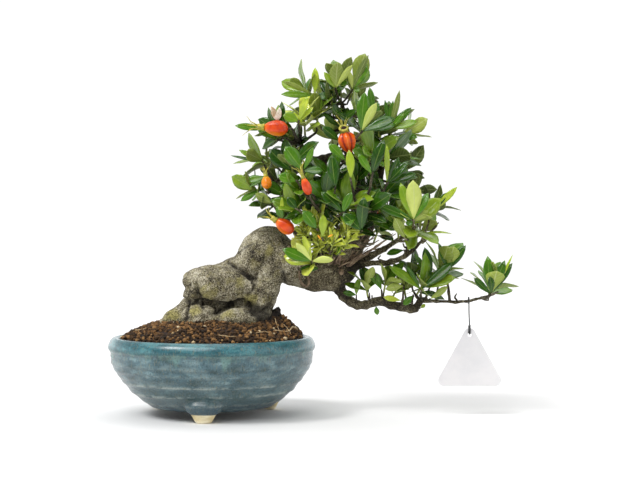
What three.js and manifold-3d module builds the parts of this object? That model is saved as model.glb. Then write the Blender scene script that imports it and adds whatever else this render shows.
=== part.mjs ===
// A gardenia bonsai in a round glazed pot: a gnarled trunk that lies over to the right, a crown of short
// leafy sprays on fine branches, a long low branch that runs out past the pot, ribbed orange fruits with
// their calyx lobes, soil, the net over the drain hole, and a blank plant tag hung on a wire.
// Millimetres, +Z up. Places are given from the pot's axis at table height, and the whole tree is moved at
// the end so that the origin is the middle of its footprint.
import * as THREE from "three";
import { mergeVertices } from "three/addons/utils/BufferGeometryUtils.js";
import Module from "manifold-3d";

const wasm = await Module();
wasm.setup();

// Clearance between pieces that touch, and between the soil and the pot's many-sided wall
const GAP = 0.35;
const WALL_GAP = 0.75;

// Pot: radius and height of each turn of the wall
const POT_SEGMENTS = 28;
const POT_BASE_Z = 10;
const POT_FLOOR_Z = 17;
const POT_RIM_Z = 91;
const POT_MOUTH_RADIUS = 108.5;
const POT_OUTER = [
  [70, POT_BASE_Z], [82, 19.5], [93, 29], [101.5, 39.5], [109.5, 49], [116, 59], [118, 69.5],
  [117.2, 73], [120.7, 80], [118.5, 87], [112, POT_RIM_Z],
];
const POT_INNER = [[62, POT_FLOOR_Z], [96, 38], [107, 72], [107, 89]];
const FOOT_ANGLES = [-92.6, 36, 139];
const FOOT_RING_RADIUS = 79;
const FOOT_PROFILE = [[0, 0], [8.5, 0], [17, 10.5], [22, 18], [16, 26], [0, 31]];
const FOOT_SEGMENTS = 9;
const FOOT_FLATNESS = 0.56;
const DRAIN_RADIUS = 11;
const DRAIN_SEGMENTS = 16;

// Net over the drain hole
const NET_SIDE = 30;
const NET_THICKNESS = 1;
const NET_CELLS = 2;
const NET_PITCH = 9;
const NET_HOLE = 7;

// Soil
const SOIL_RINGS = [106.3, 91, 73, 53, 28];
const SOIL_SEGMENTS = 28;
const SOIL_EDGE_Z = 89;
const SOIL_MOUND = 22.5;
const SOIL_FLATNESS = 3;
const SOIL_HEAP = { x: 76, y: 6, height: 14, spread: 18 };
const GRAIN_RELIEF = 1.3;

// Trunk: each lobe is [x, y, z, radius] along its middle
const TRUNK = {
  left_root: [
    [-64, -12, 88, 6], [-55, -14, 99, 11], [-43, -14, 109, 14], [-28, -10, 118, 15],
    [-14, -4, 124, 12],
  ],
  middle_root: [[-32, -24, 104, 11], [-20, -28, 112, 17], [-3, -26, 110, 17], [10, -18, 104, 13]],
  low_core: [[-34, 8, 112, 13], [-20, 8, 122, 20], [6, 8, 123, 26], [32, 6, 121, 26], [54, 2, 116, 18]],
  low_lobe: [
    [-29, -11, 153, 8], [-25, -12, 153.5, 15.5], [-12, -13, 153, 21], [4, -16, 152, 23],
    [25, -16, 149, 20], [43, -13, 143, 16], [56, -8, 134, 11],
  ],
  rear_fold: [[-22, 16, 145, 12], [-10, 17, 149, 19], [12, 16, 158, 20], [36, 12, 168, 19]],
  upper_lobe: [
    [8, 4, 150, 12], [21, 3, 155, 17], [42, 2, 175, 19.5], [54, 2, 194, 20], [66, 2, 203, 18],
    [78, 2, 202, 15],
  ],
  chest: [[32, 4, 158, 12], [45, -3, 172, 18], [58, -7, 190, 19], [70, -6, 197, 16]],
  right_leg: [
    [69, 0, 196, 18], [66, -4, 174, 17], [64, -6, 152, 16], [55, -8, 129, 18], [45, -8, 98, 19],
  ],
  front_root: [[10, -33, 103, 9], [22, -36, 112, 13], [37, -32, 114, 13], [50, -22, 110, 11]],
  rear_root_right: [[42, 10, 146, 15], [48, 18, 132, 18], [56, 28, 112, 16], [63, 36, 90, 11]],
  rear_root_left: [[0, 16, 146, 15], [-10, 24, 134, 18], [-26, 33, 112, 15], [-37, 41, 90, 10]],
  shoulder: [
    [58, 2, 198, 14], [69, 2, 197, 21], [87, 1, 177, 24], [105, 0, 170, 22], [123, -2, 165.5, 22.5],
    [141, -3, 164.5, 20], [156, -3, 168, 15], [165, -4, 173, 8],
  ],
};
const TRUNK_SIDES = 8;
const TRUNK_STEP = 19;
const TRUNK_GNARL = 0.07;

// Main branches, [x, y, z, radius]
const BRANCHES = {
  low_branch: [
    [143, -3, 160, 9], [148, -5, 148.5, 7.5], [158, -8, 135, 6], [175, -12, 127.5, 5.6],
    [193, -14, 133, 5], [213, -14, 128, 5.2], [234, -14, 124, 5], [243, -14, 133, 4],
    [251, -14, 136, 2.6],
  ],
  low_branch_end: [
    [244, -14, 133, 2.4], [265, -16, 133, 1.9], [284, -18, 132, 1.8], [300, -20, 134, 1.7],
    [317, -22, 138, 1.6],
  ],
  leader: [
    [146, 0, 166, 12], [161, 2, 198, 9], [170, 4, 230, 7.5], [171, 6, 263, 6.5], [163, 6, 292, 5.5],
    [156, 4, 321, 4.5], [154, 2, 351, 3.2], [151, 0, 366, 2],
  ],
  arch: [
    [165, 5, 285, 4.5], [149, -6, 301, 4.8], [132, -10, 299, 4.6], [117, -12, 298, 3.8],
    [106, -14, 309, 3], [102, -16, 322, 2.2],
  ],
  second_stem: [
    [127, -2, 170, 9], [133, -4, 194, 6.5], [138, -6, 227, 5], [133, -6, 256, 4.6],
    [130, -10, 298, 3.8],
  ],
  right_stem: [
    [156, 2, 172, 8], [178, 10, 204, 6], [192, 14, 239, 5], [197, 14, 275, 4], [203, 12, 306, 3],
    [208, 8, 322, 2],
  ],
  right_low: [
    [158, -5, 170, 5.4], [184, -12, 177, 3.8], [207, -16, 178, 3.2], [224, -20, 185, 2.7],
    [236, -22, 195, 2.2], [245, -24, 204, 1.4],
  ],
  right_rising: [[223, -20, 184, 2.4], [229, -28, 198, 2.1], [232, -34, 210, 1.7]],
  right_middle: [
    [166, 0, 176, 5], [184, 1, 184, 4.2], [206, 6, 196, 3.4], [223, 13, 207, 2.8], [243, 18, 222, 2.1],
  ],
  front_left: [[112, -8, 178, 5], [104, -30, 198, 3.4], [96, -42, 216, 2.2]],
  front_middle: [[134, -8, 174, 5], [133, -34, 198, 3.6], [130, -44, 220, 2.6], [132, -50, 234, 1.8]],
  front_right: [[152, -8, 174, 5], [160, -32, 200, 3.8], [168, -42, 216, 2.8], [172, -50, 226, 1.9]],
  rear_left: [[136, 8, 172, 6.5], [129, 34, 208, 4.8], [117, 48, 243, 3.4], [107, 52, 270, 2.4]],
  rear_right: [[154, 8, 172, 6.5], [173, 34, 204, 4.8], [188, 47, 238, 3.4], [196, 52, 268, 2.4]],
  rear_top: [[162, 8, 290, 3.8], [162, 26, 316, 3], [158, 34, 340, 2.2]],
  far_left: [[119, -12, 297, 3.2], [98, -10, 284, 2.6], [80, -7, 275, 2.1], [70, -5, 268, 1.6]],
};
const BRANCH_SIDES = 5;
const BRANCH_STEP = 26;
const TWIG_SIDES = 3;
const TWIG_STEPS = 2;
const TWIG_END_RADIUS = 1.15;
const TWIG_LEAD_IN = 5;
const TWIG_BEND_SHARE = 0.55;
const TWIG_SAG = 0.06;
const TWIG_TAPER = 0.02;
const TWIG_STARTS = 5;
const UPHILL_BIAS = 0.5;

// Sprays: where the top whorl of leaves sits, which way the shoot grows, how many leaves and how long
const SPRAYS = [
  { at: [150, 0, 389], way: [-0.05, -0.15, 1], leaves: 8, long: 31, tone: "mid" },
  { at: [166, 6, 385], way: [0.35, 0.1, 1], leaves: 7, long: 35, tone: "mid" },
  { at: [109, -6, 378], way: [-0.75, -0.1, 0.7], leaves: 7, long: 32, tone: "mid" },
  { at: [174, 27, 366], way: [0.5, 0.5, 0.8], leaves: 6, long: 30, tone: "dark" },
  { at: [134, 32, 370], way: [-0.3, 0.5, 1], leaves: 6, long: 31, tone: "mid" },
  { at: [176, -42, 332], way: [0.25, -0.35, 1], leaves: 7, long: 38, tone: "dark" },
  { at: [211, 2, 340], way: [0.2, -0.1, 1], leaves: 7, long: 30, tone: "dark" },
  { at: [224, 14, 328], way: [0.85, 0.1, 0.5], leaves: 7, long: 34, tone: "mid" },
  { at: [204, -24, 299], way: [0.85, -0.3, 0.3], leaves: 6, long: 38, tone: "dark" },
  { at: [184, -50, 302], way: [0.15, -0.75, 0.6], leaves: 7, long: 33, tone: "mid" },
  { at: [226, 24, 286], way: [0.7, 0.4, 0.6], leaves: 6, long: 32, tone: "dark" },
  { at: [231, -48, 226], way: [0.05, -0.65, 0.75], leaves: 8, long: 43, tone: "young" },
  { at: [262, 20, 242], way: [0.7, 0.15, 0.7], leaves: 6, long: 33, tone: "dark" },
  { at: [80, -36, 328], way: [-0.8, -0.3, 0.3], leaves: 6, long: 33, tone: "dark" },
  { at: [108, -28, 342], way: [-0.05, -0.3, 1], leaves: 7, long: 34, tone: "young" },
  { at: [59, -8, 296], way: [-0.8, -0.2, 0.4], leaves: 7, long: 33, tone: "mid" },
  { at: [52, -20, 262], way: [-0.7, -0.4, 0.15], leaves: 6, long: 29, shoot: 13, tone: "mid" },
  { at: [68, -24, 246], way: [-0.6, -0.5, 0.3], leaves: 6, long: 29, tone: "dark" },
  { at: [94, -52, 288], way: [-0.1, -0.6, 0.8], leaves: 6, long: 38, tone: "dark" },
  { at: [103, -62, 262], way: [0.05, -0.85, 0.45], leaves: 7, long: 32, tone: "mid" },
  { at: [138, -48, 276], way: [0, -0.6, 0.8], leaves: 7, long: 35, tone: "dark" },
  { at: [99, -60, 240], way: [-0.35, -0.7, 0.5], leaves: 6, long: 32, tone: "mid" },
  { at: [131, -66, 250], way: [0, -0.75, 0.6], leaves: 7, long: 32, tone: "dark" },
  { at: [155, -64, 243], way: [0.1, -0.7, 0.7], leaves: 7, long: 35, tone: "mid" },
  { at: [178, -68, 238], way: [0.15, -0.7, 0.6], leaves: 6, long: 38, tone: "dark" },
  { at: [200, -44, 256], way: [0.5, -0.6, 0.6], leaves: 7, long: 33, tone: "dark" },
  { at: [110, -58, 208], way: [-0.2, -0.5, 0.9], leaves: 6, long: 25, tone: "young" },
  { at: [113, -50, 181], way: [-0.5, -0.65, 0.5], leaves: 6, long: 35, tone: "young" },
  { at: [214, -48, 221], way: [-0.1, -0.6, 0.8], leaves: 6, long: 31, tone: "mid" },
  { at: [179, -20, 151], way: [-0.2, -0.2, 1], leaves: 6, long: 27, shoot: 13, tone: "mid" },
  { at: [202, -22, 157], way: [0.15, -0.2, 1], leaves: 6, long: 27, shoot: 14, tone: "mid" },
  { at: [265, -18, 172], way: [0.1, -0.2, 1], leaves: 8, long: 37, tone: "mid" },
  { at: [243, -30, 151], way: [0.35, -0.6, 0.7], leaves: 7, long: 34, shoot: 13, tone: "mid" },
  { at: [224, -6, 150], way: [-0.15, 0.25, 1], leaves: 7, long: 30, shoot: 13, tone: "mid" },
  { at: [323, -22, 151], way: [0.15, -0.15, 1], leaves: 8, long: 36, shoot: 12, tone: "mid" },
  { at: [102, 50, 306], way: [-0.4, 0.6, 0.7], leaves: 6, long: 32, tone: "dark" },
  { at: [187, 58, 313], way: [0.3, 0.6, 0.8], leaves: 6, long: 32, tone: "mid" },
  { at: [219, 54, 262], way: [0.6, 0.6, 0.5], leaves: 6, long: 33, tone: "dark" },
  { at: [98, 66, 250], way: [-0.5, 0.7, 0.4], leaves: 6, long: 32, tone: "mid" },
  { at: [153, 72, 265], way: [0, 0.8, 0.6], leaves: 6, long: 33, tone: "dark" },
  { at: [76, 34, 274], way: [-0.7, 0.4, 0.5], leaves: 6, long: 32, tone: "dark" },
  { at: [200, 62, 220], way: [0.5, 0.7, 0.4], leaves: 6, long: 32, tone: "mid" },
];
const SHOOT = { length: 18, radius: 1.3, tip: 1, sides: 3 };

// Leaves: whorls of three, each turned by half a step from the one above, opening out down the shoot
const WHORL = 3;
const WHORL_PLACES = [0.9, 0.56, 0.24];
const WHORL_OPENING = [30, 52, 68];

// Leaves turn their faces up and away from the middle of the crown
const CROWN_MIDDLE = [150, 0];
const FACE_UP = 0.3;
const FACE_OUT = 0.6;
const FACE_STRAY = 0.7;
const LEAF = { wide: 0.5, thickness: 0.8, arch: 0.17, lift: 0.16, widest: 1.27 };
const LEAF_STATIONS = [[0, 0], [0.38, 1], [0.72, 1], [1, 0]];
const SPRAY_TURN = 40;
const TURN_STRAY = 24;
const OPENING_STRAY = 16;
const LEAF_TRIES = 12;
const LEAF_TURN = 19;
const LEAF_OPEN_STEP = 2;
const LEAF_SHRINK = 0.045;
const LEAF_CLEAR = 0.4;

// Fruits, from the stalk end to the calyx end
const FRUITS = [
  { base: [90, -60, 329], tip: [62, -60, 331], radius: 9 },
  { base: [160, -56, 301], tip: [154, -56, 326], radius: 10.5 },
  { base: [66, -44, 262], tip: [64, -42, 277], radius: 6.4 },
  { base: [114, -86, 254], tip: [107, -89, 273], radius: 5.6 },
  { base: [96, -66, 213], tip: [76, -66, 226], radius: 8 },
  { base: [196, -20, 227], tip: [195, -33, 237], radius: 5.4 },
];
const FRUIT_RIBS = 6;
const FRUIT_RIB_DEPTH = 0.08;
const FRUIT_RINGS = 4;
const FRUIT_PETIOLE_RADIUS = 1;
const CALYX = { lobes: 5, collar: 0.34, spread: 0.55, tube: 0.22, lobe_length: 0.62, lobe_radius: 0.9 };

// Plant tag and the wire that it hangs on
const TAG = {
  x: 299, y: -20, top: 102, bottom: 35, half: 36.5, corner: 6.5, thickness: 1.2, hole: 2.3, hole_z: 94,
};
const WIRE_RADIUS = 0.6;
const WIRE_SIDES = 4;
const WIRE_STEPS = 18;
const WIRE = [
  [298, -16.2, 130], [298, -16.6, 134.6], [298, -18.6, 137.2], [298, -21.6, 137.2],
  [298, -23.6, 134], [298, -23, 122], [298.6, -22.3, 108], [299, -22.1, 97.6],
  [299, -20.3, 94.9], [299, -17.9, 97.2], [299.4, -17.6, 104],
];

// Colours, with roughness and metalness
const LOOKS = {
  glaze: [0x587f8c, 0.25, 0],
  soil: [0x5c4030, 0.95, 0],
  net: [0x1d1f1e, 0.6, 0],
  bark: [0x77705c, 0.9, 0],
  dark: [0x3b6a25, 0.35, 0],
  mid: [0x5a852f, 0.35, 0],
  young: [0x9cc048, 0.4, 0],
  fruit: [0xe8511f, 0.35, 0],
  calyx: [0xa8a53e, 0.5, 0],
  tag: [0xf0f1ef, 0.4, 0],
  wire: [0x55575a, 0.4, 0.8],
};

const vec = (p) => new THREE.Vector3(p[0], p[1], p[2]);

// A closed mesh as a solid
function solid(geometry) {
  geometry.deleteAttribute("normal");
  geometry.deleteAttribute("uv");
  const merged = mergeVertices(geometry, 1e-4);
  const vertProperties = new Float32Array(merged.attributes.position.array);
  const triVerts = new Uint32Array(merged.index.array);
  return new wasm.Manifold(new wasm.Mesh({ numProp: 3, vertProperties, triVerts }));
}

// A solid as a mesh with its own material
function mesh(name, made, look) {
  const { vertProperties, triVerts } = made.getMesh();
  const geometry = new THREE.BufferGeometry();
  geometry.setAttribute("position", new THREE.BufferAttribute(vertProperties, 3));
  geometry.setIndex(new THREE.BufferAttribute(triVerts, 1));
  const [color, roughness, metalness] = LOOKS[look];
  const result = new THREE.Mesh(geometry, new THREE.MeshStandardMaterial({ color, roughness, metalness }));
  result.name = name;
  return result;
}

// Repeatable draws from 0 to 1
function draws(seed) {
  let state = 1 + seed * 7919;
  return () => {
    state = (state * 48271) % 2147483647;
    return state / 2147483647;
  };
}

// Moves every vertex of a geometry by a rule
function reshape(geometry, rule) {
  const position = geometry.attributes.position;
  const p = new THREE.Vector3();
  for (let i = 0; i < position.count; i++) {
    const q = rule(p.fromBufferAttribute(position, i));
    position.setXYZ(i, q.x, q.y, q.z);
  }
  return geometry;
}

const routeOf = (points) => new THREE.CatmullRomCurve3(points.map(vec), false, "catmullrom", 0.5);

// Radius of a limb at a share t of its route
function radiusAt(points, t) {
  const place = t * (points.length - 1);
  const i = Math.min(Math.floor(place), points.length - 2);
  return THREE.MathUtils.lerp(points[i][3], points[i + 1][3], place - i);
}

// A cylinder bent along [x, y, z, radius] points: trunk lobes, branches, twigs, shoots and wire
function limb(points, sides, steps, { grow = 0, gnarl = 0, seed = 0 } = {}) {
  const route = routeOf(points);
  const frames = [];
  let across = null;
  for (let i = 0; i <= steps; i++) {
    const along = route.getTangent(i / steps);
    const start = Math.abs(along.z) < 0.9 ? new THREE.Vector3(0, 0, 1) : new THREE.Vector3(0, 1, 0);
    across = across ?? start.cross(along);
    across.addScaledVector(along, -across.dot(along)).normalize();
    const centre = route.getPoint(i / steps);
    frames.push({ centre, across: across.clone(), other: across.clone().cross(along) });
  }
  return solid(
    reshape(new THREE.CylinderGeometry(1, 1, 1, sides, steps), (p) => {
      const i = Math.round((p.y + 0.5) * steps);
      const turn = Math.atan2(p.z, p.x);
      const lump = Math.sin(3 * turn + seed + 1.7 * i) + Math.sin(2 * turn - 2 * seed + 0.9 * i);
      const radius = radiusAt(points, i / steps) * (1 + gnarl * lump) + grow;
      const { centre, across: side, other } = frames[i];
      return centre.clone().addScaledVector(side, radius * p.x).addScaledVector(other, radius * p.z);
    }),
  );
}

const lengthOf = (points) => routeOf(points).getLength();
const stepsFor = (points, step) => Math.max(2, Math.round(lengthOf(points) / step));

// A ring-shaped solid turned round the Z axis from [radius, z] points
function turned(profile, segments) {
  const points = profile.map(([r, z]) => new THREE.Vector2(r, z));
  return solid(new THREE.LatheGeometry(points, segments).rotateX(Math.PI / 2));
}

function makePot() {
  const outside = turned([[0, POT_BASE_Z], ...POT_OUTER, [0, POT_RIM_Z]], POT_SEGMENTS);
  const mouth = [[POT_MOUTH_RADIUS, POT_RIM_Z + 1], [0, POT_RIM_Z + 1]];
  const inside = turned([[0, POT_FLOOR_Z], ...POT_INNER, ...mouth], POT_SEGMENTS);
  const drainTop = 2 * POT_FLOOR_Z;
  const drain = turned([[0, 0], [DRAIN_RADIUS, 0], [DRAIN_RADIUS, drainTop], [0, drainTop]], DRAIN_SEGMENTS);
  const feet = FOOT_ANGLES.map((angle) =>
    solid(
      new THREE.LatheGeometry(FOOT_PROFILE.map(([r, z]) => new THREE.Vector2(r, z)), FOOT_SEGMENTS)
        .rotateX(Math.PI / 2)
        .scale(FOOT_FLATNESS, 1, 1)
        .translate(FOOT_RING_RADIUS, 0, 0)
        .rotateZ(THREE.MathUtils.degToRad(angle)),
    ),
  );
  return wasm.Manifold.union([outside, ...feet]).subtract(inside).subtract(drain);
}

function makeNet() {
  const box = (side, depth, x, y, z) => solid(new THREE.BoxGeometry(side, side, depth).translate(x, y, z));
  const middle = POT_FLOOR_Z + GAP + NET_THICKNESS / 2;
  const places = Array.from({ length: NET_CELLS }, (_, i) => (i - (NET_CELLS - 1) / 2) * NET_PITCH);
  const holes = places.flatMap((x) => places.map((y) => box(NET_HOLE, 2 * NET_THICKNESS, x, y, middle)));
  return box(NET_SIDE, NET_THICKNESS, 0, 0, middle).subtract(wasm.Manifold.union(holes));
}

// Height of the soil, with its grains as relief
function soilHeight(x, y) {
  const edge = Math.min(1, Math.hypot(x, y) / SOIL_RINGS[0]);
  const heap = Math.exp(-((x - SOIL_HEAP.x) ** 2 + (y - SOIL_HEAP.y) ** 2) / (2 * SOIL_HEAP.spread ** 2));
  const mound = SOIL_MOUND * (1 - edge ** SOIL_FLATNESS);
  const bumpsAlong = Math.sin(x * 0.83 + 1.3 * Math.sin(y * 0.31));
  const bumpsAcross = Math.cos(y * 0.79 + 1.1 * Math.sin(x * 0.37));
  return SOIL_EDGE_Z + mound + SOIL_HEAP.height * heap + GRAIN_RELIEF * bumpsAlong * bumpsAcross;
}

function makeSoil(trunkHole) {
  const netTop = POT_FLOOR_Z + NET_THICKNESS + 2 * GAP;
  const netRoom = NET_SIDE * Math.SQRT1_2 + GAP;
  const underside = [[0, netTop], [netRoom, netTop], [netRoom, POT_FLOOR_Z + GAP]];
  const wall = POT_INNER.map(([r, z]) => [r - WALL_GAP, z + GAP]).slice(0, -1);
  const top = [...SOIL_RINGS, 0].map((r) => [r, SOIL_EDGE_Z]);
  const profile = [...underside, ...wall, ...top].map(([r, z]) => new THREE.Vector2(r, z));
  const geometry = new THREE.LatheGeometry(profile, SOIL_SEGMENTS).rotateX(Math.PI / 2);
  reshape(geometry, (p) => (p.z === SOIL_EDGE_Z ? p.setZ(soilHeight(p.x, p.y)) : p));
  return solid(geometry).subtract(trunkHole);
}

function makeTrunk(grow) {
  return wasm.Manifold.union(
    Object.values(TRUNK).map((points, seed) =>
      limb(points, TRUNK_SIDES, stepsFor(points, TRUNK_STEP), { grow, gnarl: TRUNK_GNARL, seed }),
    ),
  );
}

// Places along the branches' own straight stretches, where twigs can start
const branchPoints = Object.values(BRANCHES).flatMap((points) => {
  const route = routeOf(points);
  const steps = stepsFor(points, BRANCH_STEP);
  return Array.from({ length: steps * TWIG_STARTS }, (_, i) => {
    const step = Math.floor(i / TWIG_STARTS);
    const share = (i % TWIG_STARTS) / TWIG_STARTS;
    const place = route.getPoint(step / steps).lerp(route.getPoint((step + 1) / steps), share);
    return { place, radius: radiusAt(points, (step + share) / steps) };
  });
});

// The twig that carries a shoot or a fruit: from the nearest branch, one below if it can, to its end along
// a given way
function twigTo(end, way, endRadius) {
  const cost = ({ place }) => place.distanceTo(end) + UPHILL_BIAS * Math.max(0, place.z - end.z);
  const from = branchPoints.reduce((best, point) => (cost(point) < cost(best) ? point : best));
  const before = end.clone().addScaledVector(way, -TWIG_LEAD_IN);
  const middle = from.place.clone().lerp(before, TWIG_BEND_SHARE);
  middle.z -= TWIG_SAG * from.place.distanceTo(before);
  const root = Math.min(from.radius, TWIG_END_RADIUS + TWIG_TAPER * from.place.distanceTo(end));
  const places = [from.place, middle, before, end];
  const points = places.map((p, i) => [...p, THREE.MathUtils.lerp(root, endRadius, i / 3)]);
  return limb(points, TWIG_SIDES, TWIG_STEPS);
}

// Where a spray's shoot starts, and its unit direction
function shootOf(spray) {
  const way = vec(spray.way).normalize();
  const tip = vec(spray.at);
  return { way, tip, start: tip.clone().addScaledVector(way, -(spray.shoot ?? SHOOT.length)) };
}

function fruitAxis(fruit) {
  const base = vec(fruit.base);
  const span = vec(fruit.tip).sub(base);
  return { base, length: span.length(), way: span.normalize() };
}

function makeWood() {
  const branches = Object.values(BRANCHES).map((points) =>
    limb(points, BRANCH_SIDES, stepsFor(points, BRANCH_STEP)),
  );
  const twigs = SPRAYS.map((spray) => {
    const { way, start } = shootOf(spray);
    return twigTo(start.clone().addScaledVector(way, -GAP), way, TWIG_END_RADIUS);
  });
  const stalks = FRUITS.map((fruit) => {
    const { base, way } = fruitAxis(fruit);
    return twigTo(base.clone().addScaledVector(way, -GAP), way, FRUIT_PETIOLE_RADIUS);
  });
  return wasm.Manifold.union([makeTrunk(0), ...branches, ...twigs, ...stalks]);
}

// Two unit vectors across a direction
function acrossOf(way) {
  const start = Math.abs(way.z) < 0.9 ? new THREE.Vector3(0, 0, 1) : new THREE.Vector3(0, 1, 0);
  const first = start.cross(way).normalize();
  return [first, way.clone().cross(first)];
}

// Half width of a leaf at a share t of its length, 1 at its widest
const leafWidth = (t) => Math.sin(Math.PI * t ** LEAF.widest);

// A leaf as a six-cornered plate: narrow at its root, widest past the middle, pointed, with its sides lifted
// and its tip arched back. Each try turns it further round the shoot and makes it a little smaller.
function leafPlan(spray, sprayIndex, k, tryIndex) {
  const draw = draws(sprayIndex * 100 + k);
  const { way, tip, start } = shootOf(spray);
  const [first, second] = acrossOf(way);
  const whorl = Math.floor(k / WHORL);
  const dodge = LEAF_TURN * Math.ceil(tryIndex / 2) * (tryIndex % 2 ? 1 : -1);
  const placed = (k % WHORL) * (360 / WHORL) + whorl * (180 / WHORL) + SPRAY_TURN * sprayIndex;
  const turn = THREE.MathUtils.degToRad(placed + TURN_STRAY * (draw() - 0.5) + dodge);
  const opened = WHORL_OPENING[whorl] + OPENING_STRAY * (draw() - 0.5) + LEAF_OPEN_STEP * tryIndex;
  const opening = THREE.MathUtils.degToRad(opened);
  const size = (0.88 + 0.36 * draw()) * (1 - 0.05 * whorl) * (1 - LEAF_SHRINK * tryIndex);
  const along = way.clone().multiplyScalar(Math.cos(opening));
  along.addScaledVector(first, Math.sin(opening) * Math.cos(turn));
  along.addScaledVector(second, Math.sin(opening) * Math.sin(turn));
  const out = new THREE.Vector3(tip.x - CROWN_MIDDLE[0], tip.y - CROWN_MIDDLE[1], 0).normalize();
  const face = way.clone().addScaledVector(out, FACE_OUT).add(new THREE.Vector3(0, 0, FACE_UP));
  face.addScaledVector(first, FACE_STRAY * (draw() - 0.5));
  face.addScaledVector(second, FACE_STRAY * (draw() - 0.5));
  face.addScaledVector(along, -face.dot(along)).normalize();
  return {
    root: start.clone().lerp(tip, WHORL_PLACES[whorl]),
    along,
    face,
    side: face.clone().cross(along),
    long: spray.long * size,
    wide: spray.long * size * LEAF.wide * (0.9 + 0.25 * draw()),
    arch: LEAF.arch * (0.4 + 1.2 * draw()),
  };
}

// A point of a leaf at share t of its length and s of its half width
function leafPoint(leaf, t, s) {
  const rise = -leaf.arch * leaf.long * t * t + LEAF.lift * Math.abs(s) * leaf.wide * 0.5;
  return leaf.root
    .clone()
    .addScaledVector(leaf.along, leaf.long * t)
    .addScaledVector(leaf.face, rise)
    .addScaledVector(leaf.side, 0.5 * leaf.wide * s);
}

function blade(leaf, grow = 0) {
  const grown = { ...leaf, long: leaf.long + grow, wide: leaf.wide + 2 * grow };
  const steps = LEAF_STATIONS.length - 1;
  return solid(
    reshape(new THREE.BoxGeometry(2, 1, 1, 1, steps, 1), (p) => {
      const [t, full] = LEAF_STATIONS[Math.round((p.y + 0.5) * steps)];
      const s = -Math.sign(p.x) * leafWidth(t);
      return leafPoint(grown, t, s).addScaledVector(leaf.face, p.z * full * (LEAF.thickness + 2 * grow));
    }),
  );
}

function makeShoot(spray) {
  const { start, tip } = shootOf(spray);
  return limb([[...start, SHOOT.radius], [...tip, SHOOT.tip]], SHOOT.sides, 1);
}

function boxesMeet(a, b) {
  return [0, 1, 2].every((i) => a.min[i] <= b.max[i] && b.min[i] <= a.max[i]);
}

// Leaves are set one by one, each at the first place where it is clear of everything outside its own spray
function makeSprays(obstacles) {
  const placed = obstacles.map((made) => ({ owner: -1, made, box: made.boundingBox() }));
  const shoots = SPRAYS.map(makeShoot);
  shoots.forEach((made, owner) => placed.push({ owner, made, box: made.boundingBox() }));
  const blades = SPRAYS.map(() => []);
  const most = Math.max(...SPRAYS.map((spray) => spray.leaves));
  for (let k = 0; k < most; k++)
    SPRAYS.forEach((spray, owner) => {
      if (k >= spray.leaves) return;
      for (let tryIndex = 0; tryIndex < LEAF_TRIES; tryIndex++) {
        const leaf = leafPlan(spray, owner, k, tryIndex);
        const room = blade(leaf, LEAF_CLEAR);
        const box = room.boundingBox();
        const near = placed.filter((other) => other.owner !== owner && boxesMeet(box, other.box));
        if (near.some((other) => !room.intersect(other.made).isEmpty())) continue;
        const made = blade(leaf);
        blades[owner].push(made);
        placed.push({ owner, made, box: made.boundingBox() });
        return;
      }
    });
  return shoots.map((shoot, i) => wasm.Manifold.union([shoot, ...blades[i]]));
}

// Ribbed fruit, blunt at the stalk and narrower towards its calyx
function makeFruit(fruit) {
  const { base, length, way } = fruitAxis(fruit);
  const [first, second] = acrossOf(way);
  return solid(
    reshape(new THREE.SphereGeometry(1, 2 * FRUIT_RIBS, FRUIT_RINGS), (p) => {
      const t = (1 - p.y) / 2;
      const belly = 1.12 - 0.28 * t;
      const rib = 1 + FRUIT_RIB_DEPTH * Math.cos(FRUIT_RIBS * Math.atan2(p.z, p.x));
      return base
        .clone()
        .addScaledVector(way, length * (1 - t))
        .addScaledVector(second, fruit.radius * belly * rib * p.x)
        .addScaledVector(first, fruit.radius * belly * rib * p.z);
    }),
  );
}

// Calyx: a short collar with long narrow lobes that stand on past the fruit
function makeCalyx(fruit, index) {
  const { base, length, way } = fruitAxis(fruit);
  const [first, second] = acrossOf(way);
  const draw = draws(900 + index);
  const start = base.clone().addScaledVector(way, length + GAP);
  const collarRadius = fruit.radius * CALYX.collar;
  const end = start.clone().addScaledVector(way, length * CALYX.tube);
  const collarEnds = [[...start, collarRadius], [...end, collarRadius * 1.15]];
  const collar = limb(collarEnds, CALYX.lobes, 1);
  const lobes = Array.from({ length: CALYX.lobes }, (_, i) => {
    const turn = ((i + 0.4 * draw()) / CALYX.lobes) * 2 * Math.PI;
    const out = first.clone().multiplyScalar(Math.cos(turn)).addScaledVector(second, Math.sin(turn));
    const reach = length * CALYX.lobe_length * (0.7 + 0.5 * draw());
    const root = start.clone().lerp(end, 0.5).addScaledVector(out, 0.55 * collarRadius);
    const middle = root.clone().addScaledVector(way, 0.55 * reach);
    middle.addScaledVector(out, 0.25 * reach * CALYX.spread);
    const tip = root.clone().addScaledVector(way, reach).addScaledVector(out, reach * CALYX.spread);
    const radii = [CALYX.lobe_radius, CALYX.lobe_radius * 0.85, 0];
    return limb([root, middle, tip].map((p, j) => [...p, radii[j]]), 3, 2);
  });
  return wasm.Manifold.union([collar, ...lobes]);
}

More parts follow.
